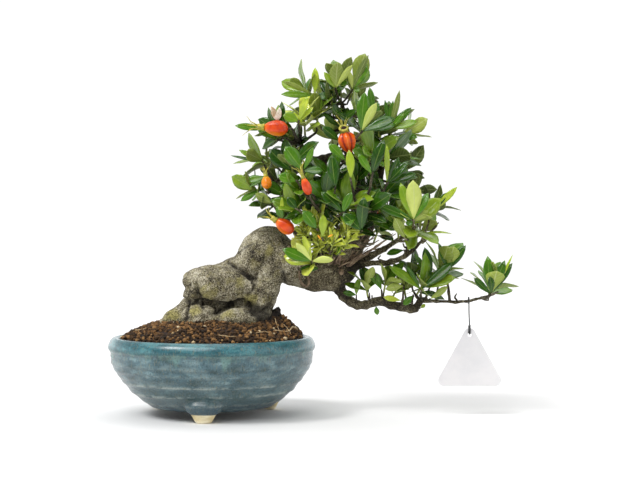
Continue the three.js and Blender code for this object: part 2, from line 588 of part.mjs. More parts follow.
// Blank tag: a triangle with round corners and a hole for the wire, standing in the X-Z plane
function makeTag() {
  const { half, corner, thickness, hole } = TAG;
  const low = TAG.bottom + corner;
  const centres = [[TAG.x, TAG.top - corner], [TAG.x - half + corner, low], [TAG.x + half - corner, low]];
  const slope = Math.atan2(centres[0][1] - centres[1][1], centres[0][0] - centres[1][0]);
  const starts = [Math.PI / 2 - slope, slope + Math.PI / 2, -Math.PI / 2];
  const sweeps = [2 * slope, Math.PI - slope, Math.PI - slope];
  const outline = centres.flatMap(([x, z], i) =>
    [0, 0.25, 0.5, 0.75, 1].map((share) => {
      const angle = starts[i] + share * sweeps[i];
      return new THREE.Vector2(x + corner * Math.cos(angle), z + corner * Math.sin(angle));
    }),
  );
  const shape = new THREE.Shape(outline);
  const holePath = new THREE.Path();
  holePath.absarc(TAG.x, TAG.hole_z, hole, 0, 2 * Math.PI, true);
  shape.holes.push(holePath);
  const settings = { depth: thickness, bevelEnabled: false, curveSegments: 5 };
  const geometry = new THREE.ExtrudeGeometry(shape, settings);
  return solid(geometry.rotateX(Math.PI / 2).translate(0, TAG.y + thickness / 2, 0));
}

function makeWire() {
  return limb(WIRE.map((p) => [...p, WIRE_RADIUS]), WIRE_SIDES, WIRE_STEPS);
}

const wood = makeWood();
const fruits = FRUITS.map(makeFruit);
const calyces = FRUITS.map(makeCalyx);
const tag = makeTag();
const wire = makeWire();
const sprays = makeSprays([wood, ...fruits, ...calyces, tag, wire]);

const tree = new THREE.Group();
tree.add(mesh("pot", makePot(), "glaze"));
tree.add(mesh("drain_net", makeNet(), "net"));
tree.add(mesh("soil", makeSoil(makeTrunk(GAP)), "soil"));
tree.add(mesh("trunk_and_branches", wood, "bark"));
sprays.forEach((made, i) => {
  const name = `spray_${String(i + 1).padStart(2, "0")}`;
  tree.add(mesh(name, made, SPRAYS[i].tone));
});
fruits.forEach((made, i) => tree.add(mesh(`fruit_${i + 1}`, made, "fruit")));
calyces.forEach((made, i) => tree.add(mesh(`calyx_${i + 1}`, made, "calyx")));
tree.add(mesh("plant_tag", tag, "tag"));
tree.add(mesh("tag_wire", wire, "wire"));

// Origin: the middle of the footprint, at table height
const box = new THREE.Box3().setFromObject(tree);
tree.position.set(-(box.min.x + box.max.x) / 2, -(box.min.y + box.max.y) / 2, -box.min.z);

export default tree;
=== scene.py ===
import math
from collections import namedtuple

import bmesh
import bpy
from mathutils import Matrix, Vector, noise
from mathutils.kdtree import KDTree


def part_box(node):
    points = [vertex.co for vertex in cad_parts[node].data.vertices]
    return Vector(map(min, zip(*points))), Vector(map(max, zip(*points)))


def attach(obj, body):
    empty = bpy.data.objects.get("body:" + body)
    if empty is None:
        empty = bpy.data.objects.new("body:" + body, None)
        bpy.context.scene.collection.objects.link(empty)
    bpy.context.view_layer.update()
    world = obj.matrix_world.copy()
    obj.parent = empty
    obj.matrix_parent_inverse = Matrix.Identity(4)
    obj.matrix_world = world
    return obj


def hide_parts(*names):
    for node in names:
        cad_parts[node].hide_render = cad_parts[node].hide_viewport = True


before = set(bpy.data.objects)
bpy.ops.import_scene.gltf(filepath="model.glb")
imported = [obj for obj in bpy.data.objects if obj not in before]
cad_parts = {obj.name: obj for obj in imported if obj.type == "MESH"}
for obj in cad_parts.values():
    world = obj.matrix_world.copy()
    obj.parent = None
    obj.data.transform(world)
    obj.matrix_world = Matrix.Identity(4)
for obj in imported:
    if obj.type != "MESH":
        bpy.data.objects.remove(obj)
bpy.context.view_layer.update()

MM = 0.001
pot_low, pot_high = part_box("pot")
POT_AXIS = Vector(((pot_low[0] + pot_high[0]) / 2, (pot_low[1] + pot_high[1]) / 2, 0))
TO_FRAME = Matrix.Translation(POT_AXIS) @ Matrix.Scale(MM, 4)

# Pot: radius and height of each turn of the wall outside, then of the inside down to the drain hole
POT_OUTER = [
    (0, 10), (66, 10), (70.5, 10.4), (83, 19.5), (94.3, 29), (103, 39.5), (110.3, 49), (116, 59), (118, 69.5),
    (117.4, 73), (120.5, 78), (120.6, 82), (118.6, 87), (115.2, 90.4), (111.4, 91), (108.6, 89.6),
]
POT_INNER = [(107.4, 86), (107, 72), (96, 38), (62, 17), (11, 17), (11, 10)]
POT_VOXEL = 1.56
# The wall's outside lies past this radius, which grows by this much for each millimetre up
OUTSIDE_RADIUS, OUTSIDE_SPREAD = 56, 0.72
# Throwing ridges as (height, strength), then their height, their widths below and above the crest, how far
# they stray, the share that lies under the plain wall, and the stretch of wall that they fade out at
RIDGES = [(18, 0.8), (28.5, 1), (40, 1), (46.5, 0.5), (53, 0.6), (61, 0.65), (70, 0.4)]
RIDGE_HEIGHT, RIDGE_UNDER, RIDGE_OVER, RIDGE_STRAY, RIDGE_GROUND = 1.4, 1.4, 3.4, 1.8, 0.2
RIDGES_LOW, RIDGES_HIGH, RIDGE_FADE = 12, 76, 4
# Feet: angle of each, then the oval's radius and height of each turn, before it is flattened
FOOT_ANGLES = [-92.6, 36, 139]
FOOT_RING_RADIUS = 81
FOOT_PROFILE = [
    (0, 0), (7.4, 0), (9, 0.8), (12.4, 6.5), (14, 9.6), (17.6, 11.4), (20.6, 15), (21.4, 19), (19.5, 24),
    (13, 29.5), (6, 31.6), (0, 32),
]
FOOT_FLATNESS = 0.68

# Soil: the mound's radius, the height of its edge, its rise, how flat its top is, and a heap on it as
# (x, y, rise, reach)
SOIL_RADIUS = 106.3
SOIL_EDGE_Z = 89
SOIL_MOUND = 22.5
SOIL_FLATNESS = 3
SOIL_HEAP = (76, 6, 14, 18)
# Grains: spacing, a row's share of it, grains to each side, smallest radius and what is added to it at most
GRAIN_PITCH, GRAIN_ROW, GRAIN_COLUMNS, GRAIN_RADIUS, GRAIN_GROWTH = 3.8, 0.866, 34, 1.5, 1.5
# Grains keep this far from the soil's edge and reach at most this far into the trunk
GRAIN_MARGIN, GRAIN_SUNK = 1.2, 2.5
GRAINS_AT_ONCE = 80

# Trunk lobes: each is [x, y, z, radius] along its middle
TRUNK = {
    "left_root": [
        (-64, -12, 88, 6), (-55, -14, 99, 11), (-43, -14, 109, 14), (-28, -10, 118, 15), (-14, -4, 124, 12),
    ],
    "middle_root": [(-32, -24, 104, 11), (-20, -28, 112, 17), (-3, -26, 110, 17), (10, -18, 104, 13)],
    "low_core": [(-34, 8, 112, 13), (-20, 8, 122, 20), (6, 8, 123, 26), (32, 6, 121, 26), (54, 2, 116, 18)],
    "low_lobe": [
        (-29, -11, 153, 8), (-25, -12, 153.5, 15.5), (-12, -13, 153, 21), (4, -16, 152, 23),
        (25, -16, 149, 20), (43, -13, 143, 16), (56, -8, 134, 11),
    ],
    "rear_fold": [(-22, 16, 145, 12), (-10, 17, 149, 19), (12, 16, 158, 20), (36, 12, 168, 19)],
    "upper_lobe": [
        (8, 4, 150, 12), (21, 3, 155, 17), (42, 2, 175, 19.5), (54, 2, 194, 20), (66, 2, 203, 18),
        (78, 2, 202, 15),
    ],
    "chest": [(32, 4, 158, 12), (45, -3, 172, 18), (58, -7, 190, 19), (70, -6, 197, 16)],
    "right_leg": [
        (69, 0, 196, 18), (66, -4, 174, 17), (64, -6, 152, 16), (55, -8, 129, 18), (45, -8, 98, 19),
    ],
    "front_root": [(10, -33, 103, 9), (22, -36, 112, 13), (37, -32, 114, 13), (50, -22, 110, 11)],
    "rear_root_right": [(42, 10, 146, 15), (48, 18, 132, 18), (56, 28, 112, 16), (63, 36, 90, 11)],
    "rear_root_left": [(0, 16, 146, 15), (-10, 24, 134, 18), (-26, 33, 112, 15), (-37, 41, 90, 10)],
    "shoulder": [
        (58, 2, 198, 14), (69, 2, 197, 21), (87, 1, 177, 24), (105, 0, 170, 22), (123, -2, 165.5, 22.5),
        (141, -3, 164.5, 20), (156, -3, 168, 15), (165, -4, 173, 8),
    ],
}

# Small curled lobe under the trunk's left end
TOE = [(-28, -14, 140, 5.5), (-25, -22, 142, 7), (-20, -27, 143, 7), (-17, -27, 138, 4.5)]
WOOD_VOXEL = 1.35
WOOD_STEP = 3
# Painted shade in the bark's folds, as (smoothing rounds, depth where it starts to show, depth where it is
# black)
FOLD_SHADE = [(12, 0.3, 1.4), (60, 0.9, 3.8)]
# The bark is the branches' to the right of these, below and above this height
BRANCH_BARK_X, BRANCH_BARK_HIGH_X, BRANCH_BARK_Z = 104, 92, 205

# Creases seen on the front of the trunk: width, depth and (x, z) points
CREASES = [
    (3.6, 3.8, [(18, 177), (26, 173), (34, 168.5)]),
    (3.4, 3.4, [(36, 167), (48, 158)]),
    (3.4, 4, [(49, 155), (51.5, 151), (47, 144), (43.5, 138.5)]),
    (4.5, 4.5, [(80, 171), (83, 162), (84.5, 154)]),
    (4.5, 5, [(-30, 135), (-21, 132), (-11, 134), (6, 130.5), (25, 129)]),
    (6, 6, [(3, 120), (14, 125), (25, 130.5), (37, 133)]),
    (8, 8, [(43.5, 128), (48, 122.5), (60, 121), (69, 125)]),
    (3.2, 3, [(-25, 128), (-26, 120), (-26, 112)]),
    (3.5, 3, [(-11, 133), (-8, 126)]),
    (2.6, 1.6, [(30, 189), (38, 195), (48, 200)]),
    (3.6, 5, [(-15, 151), (-14, 144), (-11.5, 138)]),
]

# Lichen patches on the trunk, as (place, reach)
LICHEN = [
    ((36, -34, 157), 8), ((46, -26, 134), 12), ((-2, -34, 142), 12), ((68, -26, 190), 9),
    ((-44, -28, 118), 12), ((-16, -42, 124), 9), ((20, -44, 119), 8), ((88, -18, 184), 9),
    ((30, 30, 176), 14), ((0, 36, 140), 14), ((60, 24, 196), 12), ((-30, 40, 116), 12),
]

# Painted shade in the hollows beside the leg's foot and on the trunk's right end, as (place, reach)
SHADE_PATCHES = [((60, -24, 113), 18), ((51, -24, 124), 10), ((167, -8, 168), 17)]

# Main branches, [x, y, z, radius]
BRANCHES = {
    "low_branch": [
        (143, -3, 160, 9), (148, -5, 148.5, 7.5), (158, -8, 135, 6), (175, -12, 127.5, 5.6),
        (193, -14, 133, 5), (213, -14, 128, 5.2), (234, -14, 124, 5), (243, -14, 133, 4), (251, -14, 136, 2.6),
    ],
    "low_branch_end": [
        (244, -14, 133, 2.4), (265, -16, 133, 1.9), (284, -18, 132, 1.8), (300, -20, 134, 1.7),
        (317, -22, 138, 1.6),
    ],
    "leader": [
        (146, 0, 166, 12), (161, 2, 198, 9), (170, 4, 230, 7.5), (171, 6, 263, 6.5), (163, 6, 292, 5.5),
        (156, 4, 321, 4.5), (154, 2, 351, 3.2), (151, 0, 366, 2),
    ],
    "arch": [
        (165, 5, 285, 4.5), (149, -6, 301, 4.8), (132, -10, 299, 4.6), (117, -12, 298, 3.8),
        (106, -14, 309, 3), (102, -16, 322, 2.2),
    ],
    "second_stem": [
        (127, -2, 170, 9), (133, -4, 194, 6.5), (138, -6, 227, 5), (133, -6, 256, 4.6), (130, -10, 298, 3.8),
    ],
    "right_stem": [
        (156, 2, 172, 8), (178, 10, 204, 6), (192, 14, 239, 5), (197, 14, 275, 4), (203, 12, 306, 3),
        (208, 8, 322, 2),
    ],
    "right_low": [
        (158, -5, 170, 5.4), (184, -12, 177, 3.8), (207, -16, 178, 3.2), (224, -20, 185, 2.7),
        (236, -22, 195, 2.2), (245, -24, 204, 1.4),
    ],
    "right_rising": [(223, -20, 184, 2.4), (229, -28, 198, 2.1), (232, -34, 210, 1.7)],
    "right_middle": [
        (166, 0, 176, 5), (184, 1, 184, 4.2), (206, 6, 196, 3.4), (223, 13, 207, 2.8), (243, 18, 222, 2.1),
    ],
    "front_left": [(112, -8, 178, 5), (104, -30, 198, 3.4), (96, -42, 216, 2.2)],
    "front_middle": [(134, -8, 174, 5), (133, -34, 198, 3.6), (130, -44, 220, 2.6), (132, -50, 234, 1.8)],
    "front_right": [(152, -8, 174, 5), (160, -32, 200, 3.8), (168, -42, 216, 2.8), (172, -50, 226, 1.9)],
    "rear_left": [(136, 8, 172, 6.5), (129, 34, 208, 4.8), (117, 48, 243, 3.4), (107, 52, 270, 2.4)],
    "rear_right": [(154, 8, 172, 6.5), (173, 34, 204, 4.8), (188, 47, 238, 3.4), (196, 52, 268, 2.4)],
    "rear_top": [(162, 8, 290, 3.8), (162, 26, 316, 3), (158, 34, 340, 2.2)],
    "far_left": [(119, -12, 297, 3.2), (98, -10, 284, 2.6), (80, -7, 275, 2.1), (70, -5, 268, 1.6)],
}
# Twigs start on the branches and sag and taper on their way to what they carry, uphill rather than down
BRANCH_STEP = 26
TWIG_END_RADIUS = 1.15
TWIG_LEAD_IN = 5
TWIG_BEND_SHARE = 0.55
TWIG_SAG = 0.06
TWIG_TAPER = 0.02
TWIG_STARTS = 5
UPHILL_BIAS = 0.5
FRUIT_STALK_RADIUS = 1
FACING_TWIG_RADIUS, FACING_LEAD_IN = 0.65, 1
BARE_TWIG_RADIUS = 0.8
# Branches under this radius are tubes of their own and not one skin with the trunk
THIN_UNDER = 2.9
# Clearance of the model's shoots and fruits from their twigs
GAP = 0.35

# Bare budded twigs, as (tip, direction)
BARE_TWIGS = [
    ((249, -26, 204), (0.6, 0, 0.5)), ((263, -24, 224), (0.5, 0, 0.6)),
    ((256, 18, 230), (0.5, 0, 0.8)), ((236, -12, 208), (0, 0, 1)),
    ((222, -20, 200), (-0.2, 0, 1)), ((196, -26, 186), (0.4, -0.3, 0.5)),
    ((176, -26, 196), (0.2, -0.4, 0.8)), ((146, -28, 198), (-0.2, -0.4, 0.8)),
    ((152, -24, 192), (0.4, -0.4, 0.7)), ((84, -18, 262), (-0.7, -0.3, 0.3)),
    ((212, -2, 252), (0.7, 0, 0.4)), ((186, -24, 140), (0, -0.3, 1)),
    ((232, -22, 138), (0.2, -0.3, 1)), ((284, -22, 142), (0.4, -0.2, 0.8)),
    ((332, -24, 144), (0.9, -0.2, 0.3)),
]

# Bare shoots between these corners of the trunk's right end
THICKET_LOW, THICKET_HIGH, THICKET_SHOOTS = (128, -20, 172), (162, -12, 178), 30

# Leafy shoots of the model: top whorl's place, direction, leaves, leaf length, tone and shoot length
Shoot = namedtuple("Shoot", "tip way leaves long tone length", defaults=[18])
DARK, MID, YOUNG = 0.2, 0.5, 0.86
SPRAYS = [Shoot(*values) for values in (
    ((150, 0, 389), (-0.05, -0.15, 1), 8, 31, MID),
    ((166, 6, 385), (0.35, 0.1, 1), 7, 35, MID),
    ((109, -6, 378), (-0.75, -0.1, 0.7), 7, 32, MID),
    ((174, 27, 366), (0.5, 0.5, 0.8), 6, 30, DARK),
    ((134, 32, 370), (-0.3, 0.5, 1), 6, 31, MID),
    ((176, -42, 332), (0.25, -0.35, 1), 7, 38, DARK),
    ((211, 2, 340), (0.2, -0.1, 1), 7, 30, DARK),
    ((224, 14, 328), (0.85, 0.1, 0.5), 7, 34, MID),
    ((204, -24, 299), (0.85, -0.3, 0.3), 6, 38, DARK),
    ((184, -50, 302), (0.15, -0.75, 0.6), 7, 33, MID),
    ((226, 24, 286), (0.7, 0.4, 0.6), 6, 32, DARK),
    ((231, -48, 226), (0.05, -0.65, 0.75), 8, 43, YOUNG),
    ((262, 20, 242), (0.7, 0.15, 0.7), 6, 33, DARK),
    ((80, -36, 328), (-0.8, -0.3, 0.3), 6, 33, DARK),
    ((108, -28, 342), (-0.05, -0.3, 1), 7, 34, YOUNG),
    ((59, -8, 296), (-0.8, -0.2, 0.4), 7, 33, MID),
    ((52, -20, 262), (-0.7, -0.4, 0.15), 6, 29, MID, 13),
    ((68, -24, 246), (-0.6, -0.5, 0.3), 6, 29, DARK),
    ((94, -52, 288), (-0.1, -0.6, 0.8), 6, 38, DARK),
    ((103, -62, 262), (0.05, -0.85, 0.45), 7, 32, MID),
    ((138, -48, 276), (0, -0.6, 0.8), 7, 35, DARK),
    ((99, -60, 240), (-0.35, -0.7, 0.5), 6, 32, MID),
    ((131, -66, 250), (0, -0.75, 0.6), 7, 32, DARK),
    ((155, -64, 243), (0.1, -0.7, 0.7), 7, 35, MID),
    ((178, -68, 238), (0.15, -0.7, 0.6), 6, 38, DARK),
    ((200, -44, 256), (0.5, -0.6, 0.6), 7, 33, DARK),
    ((110, -58, 208), (-0.2, -0.5, 0.9), 6, 25, YOUNG),
    ((113, -50, 181), (-0.5, -0.65, 0.5), 6, 35, YOUNG),
    ((214, -48, 221), (-0.1, -0.6, 0.8), 6, 31, MID),
    ((179, -20, 151), (-0.2, -0.2, 1), 6, 27, MID, 13),
    ((202, -22, 157), (0.15, -0.2, 1), 6, 27, MID, 14),
    ((265, -18, 172), (0.1, -0.2, 1), 8, 37, MID),
    ((243, -30, 151), (0.35, -0.6, 0.7), 7, 34, MID, 13),
    ((224, -6, 150), (-0.15, 0.25, 1), 7, 30, MID, 13),
    ((323, -22, 151), (0.15, -0.15, 1), 8, 36, MID, 12),
    ((102, 50, 306), (-0.4, 0.6, 0.7), 6, 32, DARK),
    ((187, 58, 313), (0.3, 0.6, 0.8), 6, 32, MID),
    ((219, 54, 262), (0.6, 0.6, 0.5), 6, 33, DARK),
    ((98, 66, 250), (-0.5, 0.7, 0.4), 6, 32, MID),
    ((153, 72, 265), (0, 0.8, 0.6), 6, 33, DARK),
    ((76, 34, 274), (-0.7, 0.4, 0.5), 6, 32, DARK),
    ((200, 62, 220), (0.5, 0.7, 0.4), 6, 32, MID),
)]
# Leaves of a whorl, each whorl's place along the shoot and how far its leaves open
WHORL = 3
WHORL_PLACES = [0.9, 0.56, 0.24]
WHORL_OPENING = [30, 52, 68]
CROWN_MIDDLE = Vector((150, 0, 0))
FACE_UP = 0.3
FACE_OUT = 0.6
FACE_STRAY = 0.7
LEAF_WIDE = 0.5
LEAF_ARCH = 0.17
LEAF_LIFT = 0.16
SPRAY_TURN = 40
TURN_STRAY = 24
OPENING_STRAY = 16
LEAF_TRIES = 12
LEAF_TURN = 19
LEAF_OPEN_STEP = 2
LEAF_SHRINK = 0.045
# A leaf's corners in the model: shares of its length, how near they have to be and how many of its five count
CORNER_SHARES, CORNER_NEAR, CORNERS_ENOUGH = (0.38, 0.72), 0.15, 3
LEAF_THICKNESS = 0.5
# Most that a leaf is darkened, by a random share: in the model's shoots and in front
MODEL_SHADE, FRONT_SHADE = 0.25, 0.05

# Leafy shoots added between the model's own ones; most are dark, old leaves, whose dark tone also stands for
# painted shade deep in the crown
MORE_SPRAYS = [Shoot(*values) for values in (
    ((78, -22, 336), (-0.4, -0.2, 0.9), 5, 26, MID),
    ((96, -14, 318), (-0.2, -0.5, 0.8), 6, 28, DARK),
    ((124, -14, 352), (0.1, -0.4, 1), 6, 27, MID),
    ((140, -12, 366), (-0.1, -0.5, 0.9), 6, 27, DARK),
    ((118, 12, 352), (-0.5, 0.2, 0.8), 6, 28, DARK),
    ((166, -8, 350), (0.4, -0.5, 0.8), 6, 27, MID),
    ((150, -24, 340), (0, -0.6, 0.8), 6, 28, DARK),
    ((196, -20, 326), (0.4, -0.5, 0.8), 6, 28, DARK),
    ((212, -4, 276), (0.6, -0.3, 0.5), 6, 29, DARK),
    ((168, -36, 272), (0.1, -0.7, 0.6), 6, 27, DARK),
    ((84, -30, 256), (-0.5, -0.7, 0.4), 6, 26, DARK),
    ((88, -28, 230), (-0.6, -0.5, 0.3), 5, 26, DARK),
    ((116, -46, 228), (-0.1, -0.7, 0.6), 6, 24, DARK),
    ((146, -46, 222), (0, -0.7, 0.7), 6, 24, DARK),
    ((166, -44, 220), (0.1, -0.6, 0.8), 6, 26, DARK),
    ((192, -44, 214), (0.2, -0.7, 0.6), 6, 25, DARK),
    ((204, -30, 236), (0.4, -0.6, 0.6), 6, 27, DARK),
    ((126, -54, 214), (0, -0.4, 1), 6, 17, YOUNG),
    ((138, -56, 206), (0.2, -0.5, 0.9), 6, 16, YOUNG),
    ((118, -52, 202), (-0.3, -0.5, 0.9), 6, 18, YOUNG),
    ((148, -54, 204), (0.2, -0.5, 0.8), 6, 17, YOUNG),
    ((130, -52, 194), (0, -0.6, 0.8), 6, 15, YOUNG),
    ((108, -52, 198), (-0.5, -0.5, 0.7), 6, 19, YOUNG),
    ((112, -58, 190), (-0.2, -0.6, 0.8), 6, 20, YOUNG),
    ((142, -58, 194), (0.3, -0.6, 0.8), 6, 15, YOUNG),
    ((124, -62, 204), (0, -0.7, 0.8), 6, 14, YOUNG),
    ((136, -62, 216), (0.1, -0.6, 0.9), 6, 15, YOUNG),
    ((244, -10, 214), (0.5, -0.3, 0.8), 5, 26, MID),
    ((232, -12, 166), (-0.1, -0.4, 0.9), 6, 26, DARK),
    ((214, -16, 144), (0.3, -0.6, 0.6), 5, 24, MID, 12),
    ((250, 6, 158), (0.3, 0.4, 0.9), 6, 27, DARK),
    ((188, 24, 342), (0.4, 0.5, 0.8), 6, 28, DARK),
    ((140, 44, 330), (-0.1, 0.7, 0.7), 6, 28, MID),
    ((118, 60, 280), (-0.3, 0.8, 0.5), 6, 28, DARK),
    ((170, 66, 290), (0.2, 0.8, 0.5), 6, 28, MID),
    ((130, 66, 230), (-0.1, 0.8, 0.5), 6, 28, MID),
    ((176, 66, 234), (0.2, 0.8, 0.5), 6, 28, DARK),
    ((228, 40, 236), (0.7, 0.5, 0.5), 6, 28, MID),
    ((240, 32, 262), (0.8, 0.4, 0.4), 5, 27, DARK),
    ((84, 24, 300), (-0.7, 0.3, 0.6), 6, 27, MID),
    ((182, 10, 290), (0.4, -0.2, 0.9), 6, 28, DARK),
    ((150, -10, 250), (0, -0.6, 0.8), 6, 28, DARK),
    ((120, -18, 258), (-0.3, -0.6, 0.5), 6, 26, DARK),
    ((182, -16, 262), (0.3, -0.6, 0.7), 6, 28, DARK),
    ((112, 10, 240), (-0.6, 0, 0.8), 6, 28, DARK),
    ((186, 30, 250), (0.4, 0.5, 0.7), 6, 28, DARK),
)]
# Leaves shorter than this are narrower by this much
NARROW_UNDER, NARROWING = 21, 0.6
# Most that an added shoot's leaves are darkened, by a random share and by its tone: painted shade, most on the
# dark shoots deep in the crown
INNER_SHADE = {DARK: 0.45, MID: 0.25, YOUNG: 0.05}

# The young bush low in front: many short shoots of thin leaves, set by seed inside this box
BUSH_LOW, BUSH_HIGH, BUSH_SHOOTS, BUSH_MIDDLE_X = (104, -72, 190), (160, -54, 230), 26, 132

# Large leaves that face the front or stand out at the edge, by the shoot end that carries them.
# Each leaf is (across, up, width, age) from there to its tip, and how it lies
BACK, BROAD, BOWED = "underside in front", "broad end, underside in front", "bowed up"
FACING = [
    ((120, -20, 371), [(-38, 18, 7, 0.5, BACK), (-39, 2, 10, 0.55), (2, 32, 10, 0.85), (15, -2, 11, 0.25)]),
    ((144, -30, 378), [(1, 31, 18, 0.5, BACK), (-14, 18, 9, 0.7), (19, 28, 8, 0.75, BACK)]),
    ((164, -15, 378), [(15, 42, 9, 0.3, BACK), (19, 28, 13, 0.5), (-4, 22, 7, 0.8, BACK), (9, 0, 8, 0.55)]),
    ((172, -70, 325), [(2, 44, 17, 0.42), (16, 33, 11, 0.8, BACK), (37, 17, 16, 0.22)]),
    ((188, -30, 351), [(-6, 28, 9, 0.4), (6, 10, 5, 0.35)]),
    ((207, -20, 333), [(-5, 33, 7, 0.3), (1, 32, 7, 0.35), (14, 43, 8, 0.4, BACK), (25, 23, 10, 0.35)]),
    ((207, -26, 332), [(16, 17, 8, 0.5), (31, 8, 12, 0.6)]),
    ((216, -15, 324), [(23, 1, 11, 0.5)]),
    ((148, -42, 317), [(-20, 16, 13, 0.2)]),
    ((155, -72, 292), [(-19, 20, 12, 0.5)]),
    ((160, -84, 271), [(0, 33, 11, 0.8)]),
    ((143, -82, 262), [(-6, 36, 17, 0.2)]),
    ((184, -80, 277), [(-16, 22, 10, 0.5), (9, 39, 15, 0.12)]),
    ((201, -66, 267), [(0, 44, 7, 0.8), (24, 25, 12, 0.18), (31, 15, 12, 0.22), (15, 29, 11, 0.15)]),
    ((204, -25, 294), [(36, 1, 10, 0.4, BOWED)]),
    ((230, -76, 226), [(3, 45, 20, 0.93, BACK), (-16, 41, 13, 0.66), (17, 30, 12, 0.45), (-39, 18, 12, 0.3)]),
    ((230, -74, 225), [(17, 11, 10, 0.6, BACK), (-8, -4, 8, 0.4)]),
    ((221, -70, 206), [(-13, 24, 14, 0.5, BACK)]),
    ((255, -25, 236), [(17, 22, 8, 0.25), (29, 29, 9, 0.88), (8, 5, 7, 0.88)]),
    ((234, -34, 208), [(40, 0, 6, 0.8, BOWED)]),
    ((59, -12, 295), [(-27, 13, 8, 0.62), (-37, 6, 4, 0.2)]),
    ((65, -34, 276), [(-25, -4, 11, 0.5), (-17, -3, 8, 0.4), (-20, -13, 4, 0.4)]),
    ((72, -46, 245), [(-20, 11, 12, 0.5, BACK)]),
    ((84, -66, 227), [(-5, 15, 10, 0.5), (-2, 25, 5, 0.88), (21, 9, 9, 0.35)]),
    ((107, -80, 281), [(-21, 26, 20, 0.46), (13, 25, 8, 0.5), (22, 0, 11, 0.28)]),
    ((100, -76, 269), [(-21, 7, 14, 0.48)]),
    ((100, -80, 238), [(-10, 14, 11, 0.15)]),
    ((151, -84, 234), [(-21, 26, 14, 0.2), (8, 24, 11, 0.4)]),
    ((172, -86, 214), [(-1, 38, 15, 0.18), (-19, 21, 15, 0.2)]),
    ((122, -80, 216), [(-15, 21, 15, 0.44)]),
    ((128, -78, 206), [(3, 26, 11, 0.8)]),
    ((117, -70, 180), [(-20, 20, 10, 1, BACK), (-34, 12, 15, 0.38), (25, 5, 10, 1, BACK), (-10, 30, 9, 0.9)]),
    ((125, -56, 172), [(-22, -2, 9, 0.25)]),
    ((144, -62, 186), [(9, 20, 8, 0.88), (11, 17, 8, 0.4)]),
    ((102, -56, 338), [(10, 28, 10, 0.88), (15, 17, 7, 0.88), (-18, 7, 14, 0.6)]),
    ((59, -30, 330), [(-30, 8, 10, 0.5)]),
    ((78, -48, 318), [(-24, 11, 10, 0.4)]),
    ((254, -26, 160), [(-8, 35, 13, 0.25), (-20, 28, 7, 0.45)]),
    ((272, -30, 169), [(-8, 32, 8, 0.25), (8, 28, 20, 0.6, BROAD), (21, 29, 12, 0.22)]),
    ((241, -40, 147), [(38, 31, 14, 0.25), (-33, 31, 12, 0.6), (-15, 29, 5, 0.3)]),
    ((252, -32, 136), [(22, 14, 9, 0.6, BACK)]),
    ((222, -30, 151), [(-22, -2, 11, 0.6, BACK)]),
    ((197, -22, 146), [(-19, 26, 6, 0.5), (-7, 19, 7, 0.45)]),
    ((183, -20, 142), [(-9, 30, 9, 0.22)]),
    ((168, -18, 140), [(1, 20, 8, 0.6), (-15, 4, 8, 0.3)]),
    ((220, -24, 134), [(-21, 4, 8, 0.92)]),
    ((233, -26, 140), [(-11, -11, 9, 0.4)]),
    ((191, -18, 127), [(1, -10, 7, 0.45)]),
    ((242, -20, 125), [(6, 4, 5, 0.8)]),
    ((321, -44, 142), [(-21, 18, 9, 0.22), (-7, 43, 14, 0.42)]),
    ((321, -42, 142), [(15, 39, 13, 0.3), (27, 44, 4, 0.88), (22, 37, 11, 0.2)]),
    ((321, -50, 142), [(2, 29, 24, 0.6, BROAD)]),
    ((223, -24, 192), [(-21, -2, 9, 0.3)]),
    ((235, -26, 193), [(-3, 20, 7, 0.45)]),
    ((320, -58, 143), [(-2, 20, 9, 0.15)]),
]

# Fruits: stalk end, calyx end, radius, ripeness
FRUITS = [
    ((90, -60, 329), (62, -60, 331), 9, 0.85),
    ((160, -56, 301), (154, -56, 326), 10.5, 0.8),
    ((66, -44, 262), (64, -42, 277), 6.4, 0.3),
    ((114, -86, 254), (107, -89, 273), 5.6, 0.8),
    ((96, -66, 213), (76, -66, 226), 8, 0.8),
    ((196, -20, 227), (195, -33, 237), 5.4, 1),
]
FRUIT_RIBS = 6
FRUIT_RIB_DEPTH = 0.08
# Calyx: lobes, their reach as a share of the fruit's length and how far they spread, then the collar's radius
# and length as shares of the fruit's
CALYX_LOBES, CALYX_REACH, CALYX_SPREAD = 5, 0.62, 0.55
COLLAR, COLLAR_LENGTH = 0.34, 0.22
# The second fruit is an old one: deeply ribbed, narrow at its stalk, with its flower's ring open to the front
OLD_FRUIT = 1
RING_WAY, RING_FORWARD, RING_RADII, RING_THICKNESS = (-0.3, -0.8, 0.55), (0, -5, -2), (4.8, 3.4), 1.3
THROAT_RADIUS, THROAT_SUNK = 3.2, 1.4

# Tag and the wire that it hangs on
TAG_X, TAG_Y, TAG_TOP, TAG_BOTTOM, TAG_HALF, TAG_CORNER = 299, -20, 102, 35, 36.5, 6.5
TAG_THICKNESS, TAG_EDGE, TAG_HOLE, TAG_HOLE_Z = 1.2, 0.2, 2.3, 94
WIRE_RADIUS = 0.7
# The wire's end is wound round it above the hole, 12 steps to a turn
TWIST_X, TWIST_Y, TWIST_TOP, TWIST_RISE, TWIST_TURNS = 298.7, -21.4, 105, 1.5, 6
TWIST_RADIUS, END_RADIUS, TWIST_STEPS = 1.1, 0.6, 12
WIRE = [
    (298, -16.2, 130), (298, -16.6, 134.6), (298, -18.6, 137.2), (298, -21.6, 137.2), (298, -23.6, 134),
    (298, -23, 122), (298.6, -22.3, 108), (299, -22.1, 97.6), (299, -20.3, 94.9), (299, -17.9, 97.2),
    (299.4, -17.6, 104),
]

